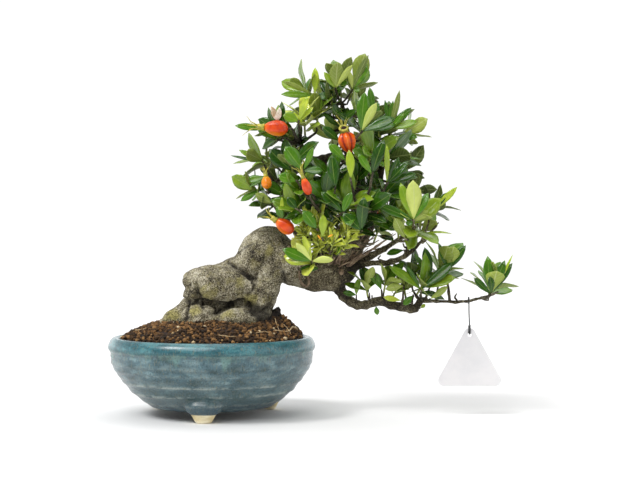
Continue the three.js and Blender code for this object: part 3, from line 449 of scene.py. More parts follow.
# Pale rootlets: radius, then x, y and height over the soil
ROOTLETS = [
    (0.4, [(74, -16, 3), (75, -22, 2.8), (77, -28, 2.4), (78, -36, 2.2), (80, -44, 1.4)]),
    (0.75, [
        (100, -12, 1), (99, -18, 6), (95, -24, 8), (91, -31, 4), (86, -38, 2.6), (76, -46, 2.2), (70, -50, 1),
    ]),
    (0.5, [(70, -58, 1.4), (64, -62, 2.6), (58, -68, 2.4), (52, -74, 1)]),
    (0.35, [(84, -20, 2.6), (88, -26, 3), (92, -34, 2), (88, -42, 1.6)]),
    (0.5, [(-86, -30, 3), (-80, -38, 2.5), (-72, -40, 2.2)]),
    (0.5, [(14, -92, 2.6), (24, -94, 2.8), (32, -90, 2)]),
]

# Dark stump beside the right leg, as (x, y, z, radius) of its lumps
STUMP_LUMPS = [
    (64, -6, 112, 6), (70, -4, 115, 6.5), (75, -3, 119, 5), (77, -2, 122, 3.6), (72, 2, 111, 8),
    (79, -4, 110, 5), (70, -12, 110, 5), (60, -16, 111, 5),
]
STUMP_VOXEL = 0.9

# Loop of bark that hangs under the trunk's right part, and cut stubs on it, [x, y, z, radius]
BARK_LOOP = [
    (102, -21, 168, 1.1), (102.5, -24.5, 161, 1.2), (105, -24, 154, 1.3), (110, -23, 150, 1.3),
    (113.5, -23, 155, 1.2), (111, -23, 163, 1),
]
STUBS = [
    [(160, -10, 176, 3), (164, -16, 180, 2.2), (166, -20, 182, 1.6)],
    [(150, -18, 168, 3.4), (151, -24, 166, 2.6)],
    [(126, -20, 184, 2.6), (124, -26, 188, 1.8)],
    [(92, -18, 192, 2.6), (90, -23, 196, 1.8)],
]

# Withered flower's petals as (direction, length), and yellowed leaves as (place, direction)
FLOWER_PLACE, PETAL_WIDE = (78, -58, 337), 0.42
PETALS = [((-0.35, -0.4, 1), 19), ((0.2, -0.5, 1), 17), ((0, -0.6, 0.7), 12)]
YELLOWED_LONG, YELLOWED_WIDE = 7, 2.4
YELLOWED_LEAVES = [((127, -79, 204), (-0.6, 0, 0.9)), ((134, -77, 207), (1, 0, 0.5))]

# Camera: the photograph's width and focal length in pixels, the sensor's width, and its place
PHOTO_WIDTH, FOCAL_PIXELS, SENSOR_WIDTH = 625, 1366.4, 36
CAMERA_PLACE = (117.4, -1600, 205.5)
# Lights: place, apparent width in degrees and strength
SOFTBOXES = {
    "key_softbox": ((-1.1, -0.8, 1.6), 19, 1.8),
    "front_softbox": ((-0.35, -1.3, 1.5), 32, 1.2),
    "side_softbox": ((1.6, -0.8, 0.9), 40, 0.4),
    "top_softbox": ((0.2, 0.5, 2), 60, 1.2),
}
FLOOR_RADIUS = 4.5

# Each group of random draws has a seed of its own
GRAIN_SEED, SPRAY_SEED, MORE_SEED, FACING_SEED = 4001, 5000, 6000, 7000
BUSH_SEED, THICKET_SEED, CALYX_SEED = 8001, 8101, 900
# Vector noise starts from the clock unless it is seeded
noise.seed_set(1)


def draws(seed):
    """Repeatable draws from 0 to 1, the same as the model's"""
    state = 1 + seed * 7919
    while True:
        state = state * 48271 % 2147483647
        yield state / 2147483647


def linear(value):
    """An sRGB hex colour as linear red, green, blue and alpha"""
    shares = [int(value[i : i + 2], 16) / 255 for i in (1, 3, 5)]
    return (*[s / 12.92 if s <= 0.04045 else ((s + 0.055) / 1.055) ** 2.4 for s in shares], 1)


# Materials


def add(tree, kind, inputs=(), output=None, stops=(), **settings):
    """Adds a node with its settings and links and gives its output; a text value is a hex colour"""
    node = tree.nodes.new("ShaderNode" + kind)
    for name, value in settings.items():
        setattr(node, name, value)
    for i, (place, colour) in enumerate(stops):
        element = node.color_ramp.elements[i] if i < 2 else node.color_ramp.elements.new(place)
        element.position, element.color = place, linear(colour)
    sockets = [s for s in node.inputs if s.enabled]
    for key, value in dict(inputs).items():
        socket = sockets[key] if isinstance(key, int) else next(s for s in sockets if s.name == key)
        if isinstance(value, bpy.types.NodeSocket):
            tree.links.new(value, socket)
        else:
            socket.default_value = linear(value) if isinstance(value, str) else value
    return next((s for s in node.outputs if s.enabled and output in (None, s.name)), None)


def new_material(name):
    """An empty node material and the tree that its nodes go in"""
    material = bpy.data.materials.new(name)
    material.use_nodes = True
    material.node_tree.nodes.clear()
    return material, material.node_tree


def lumps(size):
    """Noise scale that gives lumps about `size` millimetres across"""
    return 1 / (size * MM)


def layered(tree, colour, *layers):
    """Lays tints over a colour, each up to its greatest share while its pattern goes from one value to
    another"""
    for pattern, start, end, most, tint in layers:
        share = add(tree, "MapRange", {"Value": pattern, "From Min": start, "From Max": end, "To Max": most})
        colour = add(tree, "Mix", {"Factor": share, "A": colour, "B": tint}, data_type="RGBA")
    return colour


def speckled_glaze():
    """Glazed stoneware: glassy and mirror-like at the rim, a teal band that ran down in mint drips over a
    mottled blue-grey wall, pale where it broke on the throwing ridges, with bare matt clay at the feet"""
    material, tree = new_material("Speckled stoneware glaze")
    where = add(tree, "TexCoord", output="Object")
    height = add(tree, "SeparateXYZ", {"Vector": where}, "Z")
    ridge = add(tree, "Attribute", output="Fac", attribute_name="ridge")
    upright = add(tree, "Mapping", {"Vector": where, "Scale": (1, 1, 0.2)})
    level = add(tree, "Mapping", {"Vector": where, "Scale": (1, 1, 2.6)})
    drips = add(tree, "TexNoise", {"Vector": upright, "Scale": lumps(17), "Detail": 2})
    clouds = add(tree, "TexNoise", {"Vector": level, "Scale": lumps(24), "Detail": 5, "Roughness": 0.65})
    streaks = add(tree, "TexNoise", {"Vector": level, "Scale": lumps(26), "Detail": 3})
    # Iron specks are a millimetre wide, drawn twice that so that they show
    specks = add(tree, "TexNoise", {"Vector": where, "Scale": lumps(2.2), "Detail": 3, "Roughness": 0.7})
    fine = add(tree, "TexNoise", {"Vector": upright, "Scale": lumps(1.8), "Detail": 3, "Roughness": 0.7})

    greys = [(0.36, "#334a4d"), (0.47, "#415d66"), (0.56, "#506e77"), (0.66, "#738f94")]
    wall = add(tree, "ValToRGB", {"Fac": clouds}, stops=greys)
    wall = layered(
        tree,
        wall,
        (height, 50 * MM, 20 * MM, 0.75, "#4b5f60"),
        (height, 26 * MM, 15 * MM, 0.92, "#364c59"),
        (streaks, 0.5, 0.64, 0.65, "#667b7e"),
    )
    broken = add(tree, "MapRange", {"Value": clouds, "From Min": 0.42, "From Max": 0.58, "To Max": 0.8})
    crest = add(tree, "Math", {0: ridge, 1: broken}, operation="MULTIPLY")
    wall = add(tree, "Mix", {"Factor": crest, "A": wall, "B": "#a8b0a8"}, data_type="RGBA")

    # Mint drips hang up to 20 mm below the band's lower edge, 77.5 mm up
    hang = {"Value": drips, "From Min": 0.44, "From Max": 0.72, "To Min": 2 * MM, "To Max": 20 * MM}
    reach = add(tree, "MapRange", hang)
    depth = add(tree, "Math", {0: 77.5 * MM, 1: height}, operation="SUBTRACT")
    left = add(tree, "Math", {0: reach, 1: depth}, operation="SUBTRACT")
    wall = layered(tree, wall, (left, 0, 9 * MM, 0.6, "#6f9389"))
    teals = [(0.38, "#255059"), (0.5, "#33656e"), (0.62, "#4a7d83")]
    band = add(tree, "ValToRGB", {"Fac": clouds}, stops=teals)
    band = layered(tree, band, (height, 81 * MM, 77 * MM, 0.5, "#22504f"))
    wavy = add(tree, "Math", {0: streaks, 1: 6 * MM, 2: height}, operation="MULTIPLY_ADD")
    colour = layered(
        tree,
        wall,
        (wavy, 79.5 * MM, 81 * MM, 1, band),
        (specks, 0.53, 0.64, 0.6, "#2b3f40"),
        (fine, 0.56, 0.66, 0.5, "#7d7f66"),
        (fine, 0.44, 0.34, 0.25, "#86a5aa"),
    )

    # The glaze ends in an uneven line just over the pot's bottom
    clay = add(tree, "ValToRGB", {"Fac": clouds}, stops=[(0.4, "#dccb9c"), (0.6, "#f8eed0")])
    line = add(tree, "Math", {0: drips, 1: 2 * MM, 2: height}, operation="MULTIPLY_ADD")
    glazed = add(tree, "MapRange", {"Value": line, "From Min": 10.4 * MM, "From Max": 11 * MM})
    colour = add(tree, "Mix", {"Factor": glazed, "A": clay, "B": colour}, data_type="RGBA")
    gloss = add(tree, "MapRange", {"Value": glazed, "To Min": 0.9, "To Max": 0.27})
    skin = add(tree, "Bump", {"Height": specks, "Distance": 0.12 * MM, "Strength": 0.6})
    inputs = {"Base Color": colour, "Roughness": gloss, "IOR": 1.5, "Normal": skin}
    add(tree, "OutputMaterial", {"Surface": add(tree, "BsdfPrincipled", inputs)})
    return material


def weathered_bark(name, stops, lichen, depth):
    """Hard thin bark of an old tree, quite matt: pale crusts and dark pits two millimetres wide, fine cracks,
    broader drifts of tone, olive lichen where it is marked, and painted shade, nearly black, in its folds"""
    material, tree = new_material(name)
    where = add(tree, "TexCoord", output="Object")
    fold = add(tree, "Attribute", output="Fac", attribute_name="fold")
    marked = add(tree, "Attribute", output="Fac", attribute_name="lichen")
    flecks = add(tree, "TexNoise", {"Vector": where, "Scale": lumps(1.5), "Detail": 5, "Roughness": 0.75})
    broad = add(tree, "TexNoise", {"Vector": where, "Scale": lumps(19), "Detail": 4, "Roughness": 0.6})
    knots = add(tree, "TexNoise", {"Vector": where, "Scale": lumps(7), "Detail": 4, "Roughness": 0.6})
    drift = add(tree, "Math", {0: broad, 1: 0.6, 2: -0.49}, operation="MULTIPLY_ADD")
    drift = add(tree, "Math", {0: knots, 1: 0.3, 2: drift}, operation="MULTIPLY_ADD")
    level = add(tree, "Math", {0: flecks, 1: 1.1, 2: drift}, operation="MULTIPLY_ADD")
    colour = add(tree, "ValToRGB", {"Fac": level}, stops=stops)
    colour = layered(tree, colour, (knots, 0.5, 0.64, lichen, "#837b45"))
    edge = {"Value": flecks, "From Min": 0.4, "From Max": 0.56, "To Min": 0.2, "To Max": 0.8}
    ragged = add(tree, "MapRange", edge)
    patch = add(tree, "Math", {0: marked, 1: ragged}, operation="MULTIPLY")
    colour = add(tree, "Mix", {"Factor": patch, "A": colour, "B": "#aaa257"}, data_type="RGBA")
    bent = add(tree, "TexNoise", {"Vector": where, "Scale": lumps(9)}, "Color")
    bent = add(tree, "VectorMath", {"Vector": bent, "Scale": 6 * MM}, operation="SCALE")
    bent = add(tree, "VectorMath", {0: where, 1: bent}, operation="ADD")
    crack = add(tree, "TexVoronoi", {"Vector": bent, "Scale": lumps(7)}, feature="DISTANCE_TO_EDGE")
    thin = add(tree, "MapRange", {"Value": crack, "From Max": 0.1, "To Min": 0.55, "To Max": 0})
    open_part = add(tree, "MapRange", {"Value": knots, "From Min": 0.42, "From Max": 0.56})
    thin = add(tree, "Math", {0: thin, 1: open_part}, operation="MULTIPLY")
    colour = add(tree, "Mix", {"Factor": thin, "A": colour, "B": "#211c14"}, data_type="RGBA")
    # Painted shade: near black in the folds, creases and hollows and on the limbs inside the crown
    colour = add(tree, "Mix", {"Factor": fold, "A": colour, "B": "#16120c"}, data_type="RGBA")
    crust = add(tree, "Math", {0: knots, 1: 0.8, 2: flecks}, operation="MULTIPLY_ADD")
    skin = add(tree, "Bump", {"Height": crust, "Distance": depth * MM, "Strength": 0.9})
    inputs = {"Base Color": colour, "Roughness": 0.92, "Normal": skin}
    add(tree, "OutputMaterial", {"Surface": add(tree, "BsdfPrincipled", inputs)})
    return material


def leaf_side(name, stops, line_colour, line_shares, roughness, dents):
    """One side of a leaf: its colour goes by the leaf's age; the midrib is a fine pale line, with fainter
    side veins every 4 mm or so. The waxed top is smooth and shiny, the underside paler and satin"""
    material, tree = new_material(name)
    age = add(tree, "Attribute", output="Fac", attribute_name="age")
    shade = add(tree, "Attribute", output="Fac", attribute_name="shade")
    where = add(tree, "TexCoord", output="Object")
    blade = add(tree, "TexCoord", output="UV")
    mottle = add(tree, "TexNoise", {"Vector": where, "Scale": lumps(8), "Detail": 3})
    aged = add(tree, "Math", {0: mottle, 1: 0.3, 2: age}, operation="MULTIPLY_ADD")
    aged = add(tree, "Math", {0: aged, 1: 0.15}, operation="SUBTRACT")
    colour = add(tree, "ValToRGB", {"Fac": aged}, stops=stops)
    lengthwise = add(tree, "SeparateXYZ", {"Vector": blade}, "X")
    sideways = add(tree, "SeparateXYZ", {"Vector": blade}, "Y")
    offset = add(tree, "Math", {0: sideways, 1: 0.5}, operation="SUBTRACT")
    across = add(tree, "Math", {0: offset}, operation="ABSOLUTE")
    middle = {"Value": across, "From Min": 0.012, "From Max": 0.04, "To Min": line_shares[0], "To Max": 0}
    rib = add(tree, "MapRange", middle)
    slope = add(tree, "Math", {0: across, 1: -3.2}, operation="MULTIPLY")
    slant = add(tree, "Math", {0: lengthwise, 1: 8, 2: slope}, operation="MULTIPLY_ADD")
    comb = add(tree, "Math", {0: slant, 1: 0.5}, operation="PINGPONG")
    vein = add(tree, "MapRange", {"Value": comb, "From Max": 0.1, "To Min": line_shares[1], "To Max": 0})
    lines = add(tree, "Math", {0: rib, 1: vein}, operation="MAXIMUM")
    colour = add(tree, "Mix", {"Factor": lines, "A": colour, "B": line_colour}, data_type="RGBA")
    # Each leaf darkened by its own random share; on the added shoots deep in the crown this is painted shade
    colour = add(tree, "Mix", {"Factor": shade, "A": colour, "B": "#0e1c07"}, data_type="RGBA")
    sunk = add(tree, "Math", {0: lines, 1: dents, 2: mottle}, operation="MULTIPLY_ADD")
    skin = add(tree, "Bump", {"Height": sunk, "Distance": 0.3 * MM, "Strength": 0.7})
    inputs = {"Base Color": colour, "Roughness": roughness, "IOR": 1.47, "Normal": skin}
    add(tree, "OutputMaterial", {"Surface": add(tree, "BsdfPrincipled", inputs)})
    return material


def ripe_skin():
    """Skin of a ripe fruit: thin and waxy, so it has a soft shine; deep orange in its flutes, yellower on
    its ribs, at the calyx, underneath and where it is not yet ripe"""
    material, tree = new_material("Ripe fruit skin")
    where = add(tree, "TexCoord", output="Object")
    rib = add(tree, "Attribute", output="Fac", attribute_name="rib")
    ripe = add(tree, "Attribute", output="Fac", attribute_name="ripe")
    blotch = add(tree, "TexNoise", {"Vector": where, "Scale": lumps(5), "Detail": 3})
    blush = add(tree, "Math", {0: blotch, 1: 0.5, 2: ripe}, operation="MULTIPLY_ADD")
    blush = add(tree, "Math", {0: blush, 1: 0.25}, operation="SUBTRACT")
    oranges = [(0, "#eda51f"), (0.35, "#ee8418"), (0.65, "#e4550f"), (0.9, "#c4370b"), (1, "#8c2407")]
    colour = add(tree, "ValToRGB", {"Fac": blush}, stops=oranges)
    colour = layered(tree, colour, (rib, 0.7, 1, 0.5, "#ee9a2c"))
    skin = add(tree, "Bump", {"Height": blotch, "Distance": 0.4 * MM, "Strength": 0.6})
    inputs = {"Base Color": colour, "Roughness": 0.3, "Normal": skin}
    inputs |= {"Subsurface Weight": 0.1, "Subsurface Radius": (4 * MM, 1.5 * MM, 0.5 * MM)}
    add(tree, "OutputMaterial", {"Surface": add(tree, "BsdfPrincipled", inputs)})
    return material


def clay_grains():
    """Grains of baked clay, dry and dusty: each has a tone of its own, most brown, some tan, a few buff"""
    material, tree = new_material("Baked clay grains")
    where = add(tree, "TexCoord", output="Object")
    tone = add(tree, "Attribute", output="Fac", attribute_name="tone")
    dust = add(tree, "TexNoise", {"Vector": where, "Scale": lumps(1.5), "Detail": 3, "Roughness": 0.7})
    browns = [(0, "#1d140a"), (0.35, "#463119"), (0.7, "#78552d")]
    tans = [(0.88, "#9a7547"), (0.95, "#b59769"), (1, "#d2bc96")]
    colour = add(tree, "ValToRGB", {"Fac": tone}, stops=browns + tans)
    colour = layered(tree, colour, (dust, 0.48, 0.66, 0.6, "#1c120a"))
    skin = add(tree, "Bump", {"Height": dust, "Distance": 0.4 * MM})
    inputs = {"Base Color": colour, "Roughness": 0.95, "Normal": skin}
    add(tree, "OutputMaterial", {"Surface": add(tree, "BsdfPrincipled", inputs)})
    return material


def two_tone(name, first, second, size, roughness, metallic=0.0, depth=0.1):
    """A surface that drifts between two colours in patches of `size` millimetres"""
    material, tree = new_material(name)
    where = add(tree, "TexCoord", output="Object")
    drift = add(tree, "TexNoise", {"Vector": where, "Scale": lumps(size), "Detail": 4, "Roughness": 0.6})
    colour = layered(tree, first, (drift, 0.38, 0.62, 1, second))
    skin = add(tree, "Bump", {"Height": drift, "Distance": depth * MM})
    inputs = {"Base Color": colour, "Roughness": roughness, "Metallic": metallic, "Normal": skin}
    add(tree, "OutputMaterial", {"Surface": add(tree, "BsdfPrincipled", inputs)})
    return material


GLAZE = speckled_glaze()
TRUNK_BARK = weathered_bark(
    "Old grey bark with lichen",
    [(0.37, "#1d1912"), (0.45, "#5a5340"), (0.52, "#877f67"), (0.58, "#aca58d"), (0.66, "#cec9b7")],
    0.45,
    1.1,
)
# Younger wood: browner and less crusted, and darker, which also stands for painted shade of the crown over the
# shoulder and branches
BRANCH_BARK = weathered_bark(
    "Brown branch bark",
    [(0.37, "#1a1610"), (0.46, "#483f2e"), (0.55, "#6c634a"), (0.66, "#aba286")],
    0.15,
    0.8,
)
LEAF_TOP = leaf_side(
    "Waxed leaf face",
    [
        (0, "#122c06"), (0.22, "#28520a"), (0.48, "#4c7c13"), (0.72, "#86a226"), (0.88, "#a6bb34"),
        (1, "#e0e85a"),
    ],
    "#a3b95a",
    (0.34, 0.1),
    0.17,
    -1.2,
)
LEAF_UNDER = leaf_side(
    "Leaf underside",
    [(0, "#46591e"), (0.3, "#65782f"), (0.65, "#9aab44"), (1, "#cbd76f")],
    "#c6cf8c",
    (0.7, 0.4),
    0.5,
    1.2,
)
# Soft stem of a shoot and its bud: satin, green with a brown cast
STEM = two_tone("Green stem", "#69702f", "#a0ab4f", 3, 0.5)
SKIN = ripe_skin()
# Leafy calyx, drying: satin, yellow-green to straw, brown at its tips
CALYX_GREEN = two_tone("Drying calyx", "#cdc048", "#888a33", 4, 0.5)
GRAINS = clay_grains()
# Soil under the grains, painted near black as the shade between them, seen only there
GAP_SHADE_SOIL = two_tone("Soil painted dark as shade between grains", "#1c120b", "#2e1d12", 4, 0.95, depth=0.5)
# Bark of one-year shoots: tan, thin and matt
SHOOT_BARK = two_tone("Tan shoot bark", "#a08a70", "#5f4c3c", 4, 0.8, depth=0.3)
# Old root stump, nearly black where it is wet
STUMP = two_tone("Dark root wood", "#0c0907", "#261d15", 3, 0.9, depth=0.6)
# Thin dry rootlets: matt straw
ROOTLET = two_tone("Pale rootlet", "#c6ae84", "#93795a", 3, 0.8)
# Dried petal: matt, cream with brown edges
PETAL = two_tone("Withered petal", "#f3ebdc", "#b8966c", 5, 0.7, depth=0.3)
# Leaf that is dying off: soft, satin, orange
YELLOWED = two_tone("Yellowed leaf", "#f6c21e", "#e08a1c", 3, 0.5)
# Ball in the hole of an old calyx, painted nearly black as the shade inside it; matt
THROAT_SHADE = two_tone("Calyx throat painted as shade", "#22110b", "#3a2015", 3, 0.9)
# White sheet plastic: satin, bright, a faint grey drift
TAG_WHITE = two_tone("White sheet plastic", "#e2e0e1", "#d9d8da", 30, 0.3, depth=0.02)
# Annealed steel wire: dark, dull metal
WIRE_STEEL = two_tone("Annealed steel wire", "#5e5f60", "#3a3b3c", 6, 0.5, 0.6)
# Woven polythene net: black, satin
NET_BLACK = two_tone("Black polythene net", "#1d1f1e", "#2a2c2b", 5, 0.55)
# Matt white board: the floor under the pot
FLOOR_WHITE = two_tone("White studio board", "#e2e2e2", "#dfdfdf", 400, 0.9)


# Shapes


def along(points, t):
    """Place and radius at share t of the smooth curve through the points"""
    spans = len(points) - 1
    i = min(int(t * spans), spans - 1)
    u = t * spans - i
    b, c = Vector(points[i][:3]), Vector(points[i + 1][:3])
    a = Vector(points[i - 1][:3]) if i else 2 * b - c
    d = Vector(points[i + 2][:3]) if i + 2 <= spans else 2 * c - b
    place = b + 0.5 * u * (c - a) + u * u * (a - 2.5 * b + 2 * c - 0.5 * d)
    place += u**3 * (1.5 * (b - c) + 0.5 * (d - a))
    radius = points[i][3] * (1 - u) + points[i + 1][3] * u if len(points[0]) > 3 else 1.0
    return place, radius


def length_of(points):
    """Length of the smooth curve through the points"""
    places = [along(points, i / 200)[0] for i in range(201)]
    return sum((b - a).length for a, b in zip(places, places[1:]))


def sampled(points, step):
    """(place, radius) pairs along the curve, one for each step"""
    count = max(3, round(length_of(points) / step))
    return [along(points, i / count) for i in range(count + 1)]


def placed(name, data):
    """A new object in the scene for a mesh, curve, light or camera"""
    made = bpy.data.objects.new(name, data)
    bpy.context.scene.collection.objects.link(made)
    return made


def mesh_of(bm, name="part"):
    """The mesh of a bmesh, which is freed"""
    mesh = bpy.data.meshes.new(name)
    bm.to_mesh(mesh)
    bm.free()
    return mesh


def append(bm, other):
    """Adds another bmesh's faces and frees it"""
    mesh = mesh_of(other)
    bm.from_mesh(mesh)
    bpy.data.meshes.remove(mesh)


def baked(holder):
    """What a holder's curve or modifiers make, as a bmesh with its doubles merged and its faces turned
    outwards; the holder goes"""
    mesh = bpy.data.meshes.new_from_object(holder.evaluated_get(bpy.context.evaluated_depsgraph_get()))
    bpy.data.objects.remove(holder)
    bm = bmesh.new()
    bm.from_mesh(mesh)
    bpy.data.meshes.remove(mesh)
    bmesh.ops.remove_doubles(bm, verts=bm.verts, dist=1e-4)
    bmesh.ops.recalc_face_normals(bm, faces=bm.faces)
    return bm


def tubes(routes, roundness):
    """Closed tubes along lists of (place, radius)"""
    curve = bpy.data.curves.new("tubes", "CURVE")
    curve.dimensions = "3D"
    curve.bevel_depth = 1
    curve.bevel_resolution = roundness
    curve.use_fill_caps = True
    for route in routes:
        spline = curve.splines.new("POLY")
        spline.points.add(len(route) - 1)
        for point, (place, radius) in zip(spline.points, route):
            point.co = (*place, 1)
            point.radius = radius
    return baked(placed("tubes", curve))


def grown_together(bm, voxel, rounds):
    """Joins overlapping closed shapes into one skin and rounds the seams between them"""
    holder = placed("holder", mesh_of(bm))
    joined = holder.modifiers.new("joined", "REMESH")
    joined.mode = "VOXEL"
    joined.voxel_size = voxel
    rounded = holder.modifiers.new("rounded", "SMOOTH")
    rounded.factor = 0.5
    rounded.iterations = rounds
    return baked(holder)


def bmesh_with(*values):
    """An empty bmesh whose points carry these values"""
    bm = bmesh.new()
    for value in values:
        bm.verts.layers.float.new(value)
    return bm


def paint(faces, index):
    """Gives faces one of their piece's materials"""
    for face in faces:
        face.material_index = index


def nearest_of(places):
    """A search tree over places"""
    tree = KDTree(len(places))
    for i, place in enumerate(places):
        tree.insert(place, i)
    tree.balance()
    return tree


def unit(values):
    """Direction of length 1"""
    return Vector(values).normalized()


def across_of(way):
    """Two unit vectors across a direction"""
    start = Vector((0, 0, 1)) if abs(way.z) < 0.9 else Vector((0, 1, 0))
    first = start.cross(way).normalized()
    return first, way.cross(first)


def gnarled(route, seed, amount, wander):
    """Gives a smooth route small swellings and bends, with its ends left in place"""
    made = []
    for i, (place, radius) in enumerate(route):
        share = math.sin(math.pi * i / (len(route) - 1))
        probe = place * 0.14 + Vector((seed, 0, 0))
        swell = 1 + amount * noise.noise(place * 0.35 + Vector((0, seed, 0)))
        made.append((place + noise.noise_vector(probe) * wander * share, radius * swell))
    return made


def piece(name, bm, materials, node=None, smooth=True):
    """Puts a finished shape into the frame as a piece, which may stand for a node"""
    bm.transform(TO_FRAME)
    mesh = mesh_of(bm, name)
    for material in materials:
        mesh.materials.append(material)
    mesh.shade_smooth() if smooth else mesh.shade_flat()
    made = placed(name, mesh)
    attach(made, "root")
    if node:
        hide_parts(node)


# Pot


def turned(bm, profile, steps):
    """Turns a profile of (radius, height) points round the pot's axis"""
    verts = [bm.verts.new((r, 0, z)) for r, z in profile]
    edges = [bm.edges.new(pair) for pair in zip(verts, verts[1:])]
    bmesh.ops.spin(
        bm, geom=verts + edges, cent=(0, 0, 0), axis=(0, 0, 1), angle=2 * math.pi, steps=steps, use_merge=True
    )
    bmesh.ops.remove_doubles(bm, verts=bm.verts, dist=0.01)


def smooth_profile(points, step):
    """Finer (radius, height) points on the curve through the given ones"""
    lifted = [(r, 0, z) for r, z in points]
    count = round(length_of(lifted) / step)
    return [(p.x, p.z) for p, _ in (along(lifted, i / count) for i in range(count + 1))]


def ridge_at(place):
    """Share of the nearest throwing ridge's crest: each rises slowly from above, drops away below and strays
    a little up and down round the pot"""
    turn = place.xy.normalized() * 1.4
    z = place.z + RIDGE_STRAY * noise.noise(Vector((turn.x, turn.y, place.z / 40)))
    crests = []
    for crest, strength in RIDGES:
        width = RIDGE_OVER if z > crest else RIDGE_UNDER
        crests.append(strength * math.exp(-(((z - crest) / width) ** 2)))
    return max(crests)


def make_pot():
    """Turned wall and three feet in one skin, with the throwing ridges raised on the wall's outside"""
    bm = bmesh.new()
    turned(bm, POT_OUTER[:2] + smooth_profile(POT_OUTER[2:], 2) + POT_INNER, 160)
    # The faces on the axis go and a ring joins the edges left, which opens the drain hole
    bmesh.ops.delete(bm, geom=[v for v in bm.verts if v.co.xy.length < 1], context="VERTS")
    bmesh.ops.bridge_loops(bm, edges=[e for e in bm.edges if e.is_boundary])
    for angle in FOOT_ANGLES:
        foot = bmesh.new()
        turned(foot, smooth_profile(FOOT_PROFILE, 1.5), 48)
        bmesh.ops.scale(foot, vec=(FOOT_FLATNESS, 1, 1), verts=foot.verts)
        bmesh.ops.translate(foot, vec=(FOOT_RING_RADIUS, 0, 0), verts=foot.verts)
        turn = Matrix.Rotation(math.radians(angle), 3, "Z")
        bmesh.ops.rotate(foot, cent=(0, 0, 0), matrix=turn, verts=foot.verts)
        append(bm, foot)
    bmesh.ops.recalc_face_normals(bm, faces=bm.faces)
    skin = grown_together(bm, POT_VOXEL, 3)
    ridge = skin.verts.layers.float.new("ridge")
    for v in skin.verts:
        out, z = v.co.xy.length, v.co.z
        if RIDGES_LOW < z < RIDGES_HIGH and out > OUTSIDE_SPREAD * z + OUTSIDE_RADIUS:
            share = ridge_at(v.co)
            fade = min(1, (z - RIDGES_LOW) / RIDGE_FADE, (RIDGES_HIGH - z) / RIDGE_FADE)
            v.co.xy *= 1 + fade * RIDGE_HEIGHT * (share - RIDGE_GROUND) / out
            v[ridge] = share**3 * fade
    piece("glazed_pot", skin, [GLAZE], "pot")


# Soil


def soil_height(x, y):
    """Height of the soil's surface, a mound with a small heap on it"""
    edge = min(1, math.hypot(x, y) / SOIL_RADIUS)
    heap_x, heap_y, heap, spread = SOIL_HEAP
    bulge = math.exp(-((x - heap_x) ** 2 + (y - heap_y) ** 2) / (2 * spread**2))
    return SOIL_EDGE_Z + SOIL_MOUND * (1 - edge**SOIL_FLATNESS) + heap * bulge


trunk_samples = [sample for points in TRUNK.values() for sample in sampled(points, 6)]


def make_soil():
    """Loose grains in uneven rows over the soil, each with a size, lie and tone of its own"""
    bm, chunk = bmesh_with("tone"), bmesh_with("tone")
    draw = draws(GRAIN_SEED)
    rows = int(SOIL_RADIUS / (GRAIN_PITCH * GRAIN_ROW))
    count = 0
    for j in range(-rows, rows + 1):
        for i in range(-GRAIN_COLUMNS, GRAIN_COLUMNS + 1):
            x = (i + 0.5 * (j % 2) + 0.7 * (next(draw) - 0.5)) * GRAIN_PITCH
            y = (j * GRAIN_ROW + 0.6 * (next(draw) - 0.5)) * GRAIN_PITCH
            size = GRAIN_RADIUS + GRAIN_GROWTH * next(draw) ** 2
            lift = 2 * next(draw) - 0.5
            tone = min(1, 0.02 + 0.84 * next(draw) + (0.25 if next(draw) > 0.94 else 0))
            if math.hypot(x, y) > SOIL_RADIUS - GRAIN_MARGIN:
                continue
            place = Vector((x, y, soil_height(x, y) + 0.2 + lift))
            if any((place - middle).length < radius - GRAIN_SUNK for middle, radius in trunk_samples):
                continue
            turn = Matrix.Rotation(6.3 * next(draw), 4, (next(draw), next(draw), 0.3 + next(draw)))
            stretch = Matrix.Diagonal((1, 0.75 + 0.4 * next(draw), 0.7 + 0.35 * next(draw), 1))
            matrix = Matrix.Translation(place) @ turn @ stretch
            made = bmesh.ops.create_icosphere(chunk, subdivisions=1, radius=size, matrix=matrix)["verts"]
            layer = chunk.verts.layers.float["tone"]
            for v in made:
                v.co += (v.co - place) * 0.28 * noise.noise(v.co * 0.9)
                v[layer] = tone
            count += 1
            # Many grains in one bmesh are slow to add to, so they are moved over a few at a time
            if count % GRAINS_AT_ONCE == 0:
                append(bm, chunk)
                chunk = bmesh_with("tone")
    append(bm, chunk)
    piece("soil_grains", bm, [GRAINS], smooth=False)


# Wood


def branch_points():
    """Places on the branches' straight stretches where twigs can start"""
    starts = []
    for points in BRANCHES.values():
        steps = max(2, round(length_of(points) / BRANCH_STEP))
        for i in range(steps * TWIG_STARTS):
            step, share = i // TWIG_STARTS, (i % TWIG_STARTS) / TWIG_STARTS
            place = along(points, step / steps)[0].lerp(along(points, (step + 1) / steps)[0], share)
            starts.append((place, along(points, (step + share) / steps)[1]))
    return starts


twig_starts = branch_points()


def twig_to(end, way, end_radius, lead_in=TWIG_LEAD_IN):
    """Four [x, y, z, radius] points of the twig that carries a shoot or a fruit"""

    def cost(start):
        return (start[0] - end).length + UPHILL_BIAS * max(0, start[0].z - end.z)

    place, radius = min(twig_starts, key=cost)
    before = end - lead_in * way
    middle = place.lerp(before, TWIG_BEND_SHARE)
    middle.z -= TWIG_SAG * (place - before).length
    root = min(radius, TWIG_END_RADIUS + TWIG_TAPER * (place - end).length)
    places = [place, middle, before, end]
    return [(*p, root + (end_radius - root) * i / 3) for i, p in enumerate(places)]


def shoot_of(spray):
    """Direction, tip and start of a leafy shoot"""
    way, tip = unit(spray.way), Vector(spray.tip)
    return way, tip, tip - way * spray.length


def limb_shade(place):
    """How much painted shade the limbs get inside the crown and along the low branch"""
    low = min(0.4, (place.x - 145) / 20) if place.z < 152 else 0
    return max(0, min(0.6, (place.z - 225) / 50), low)


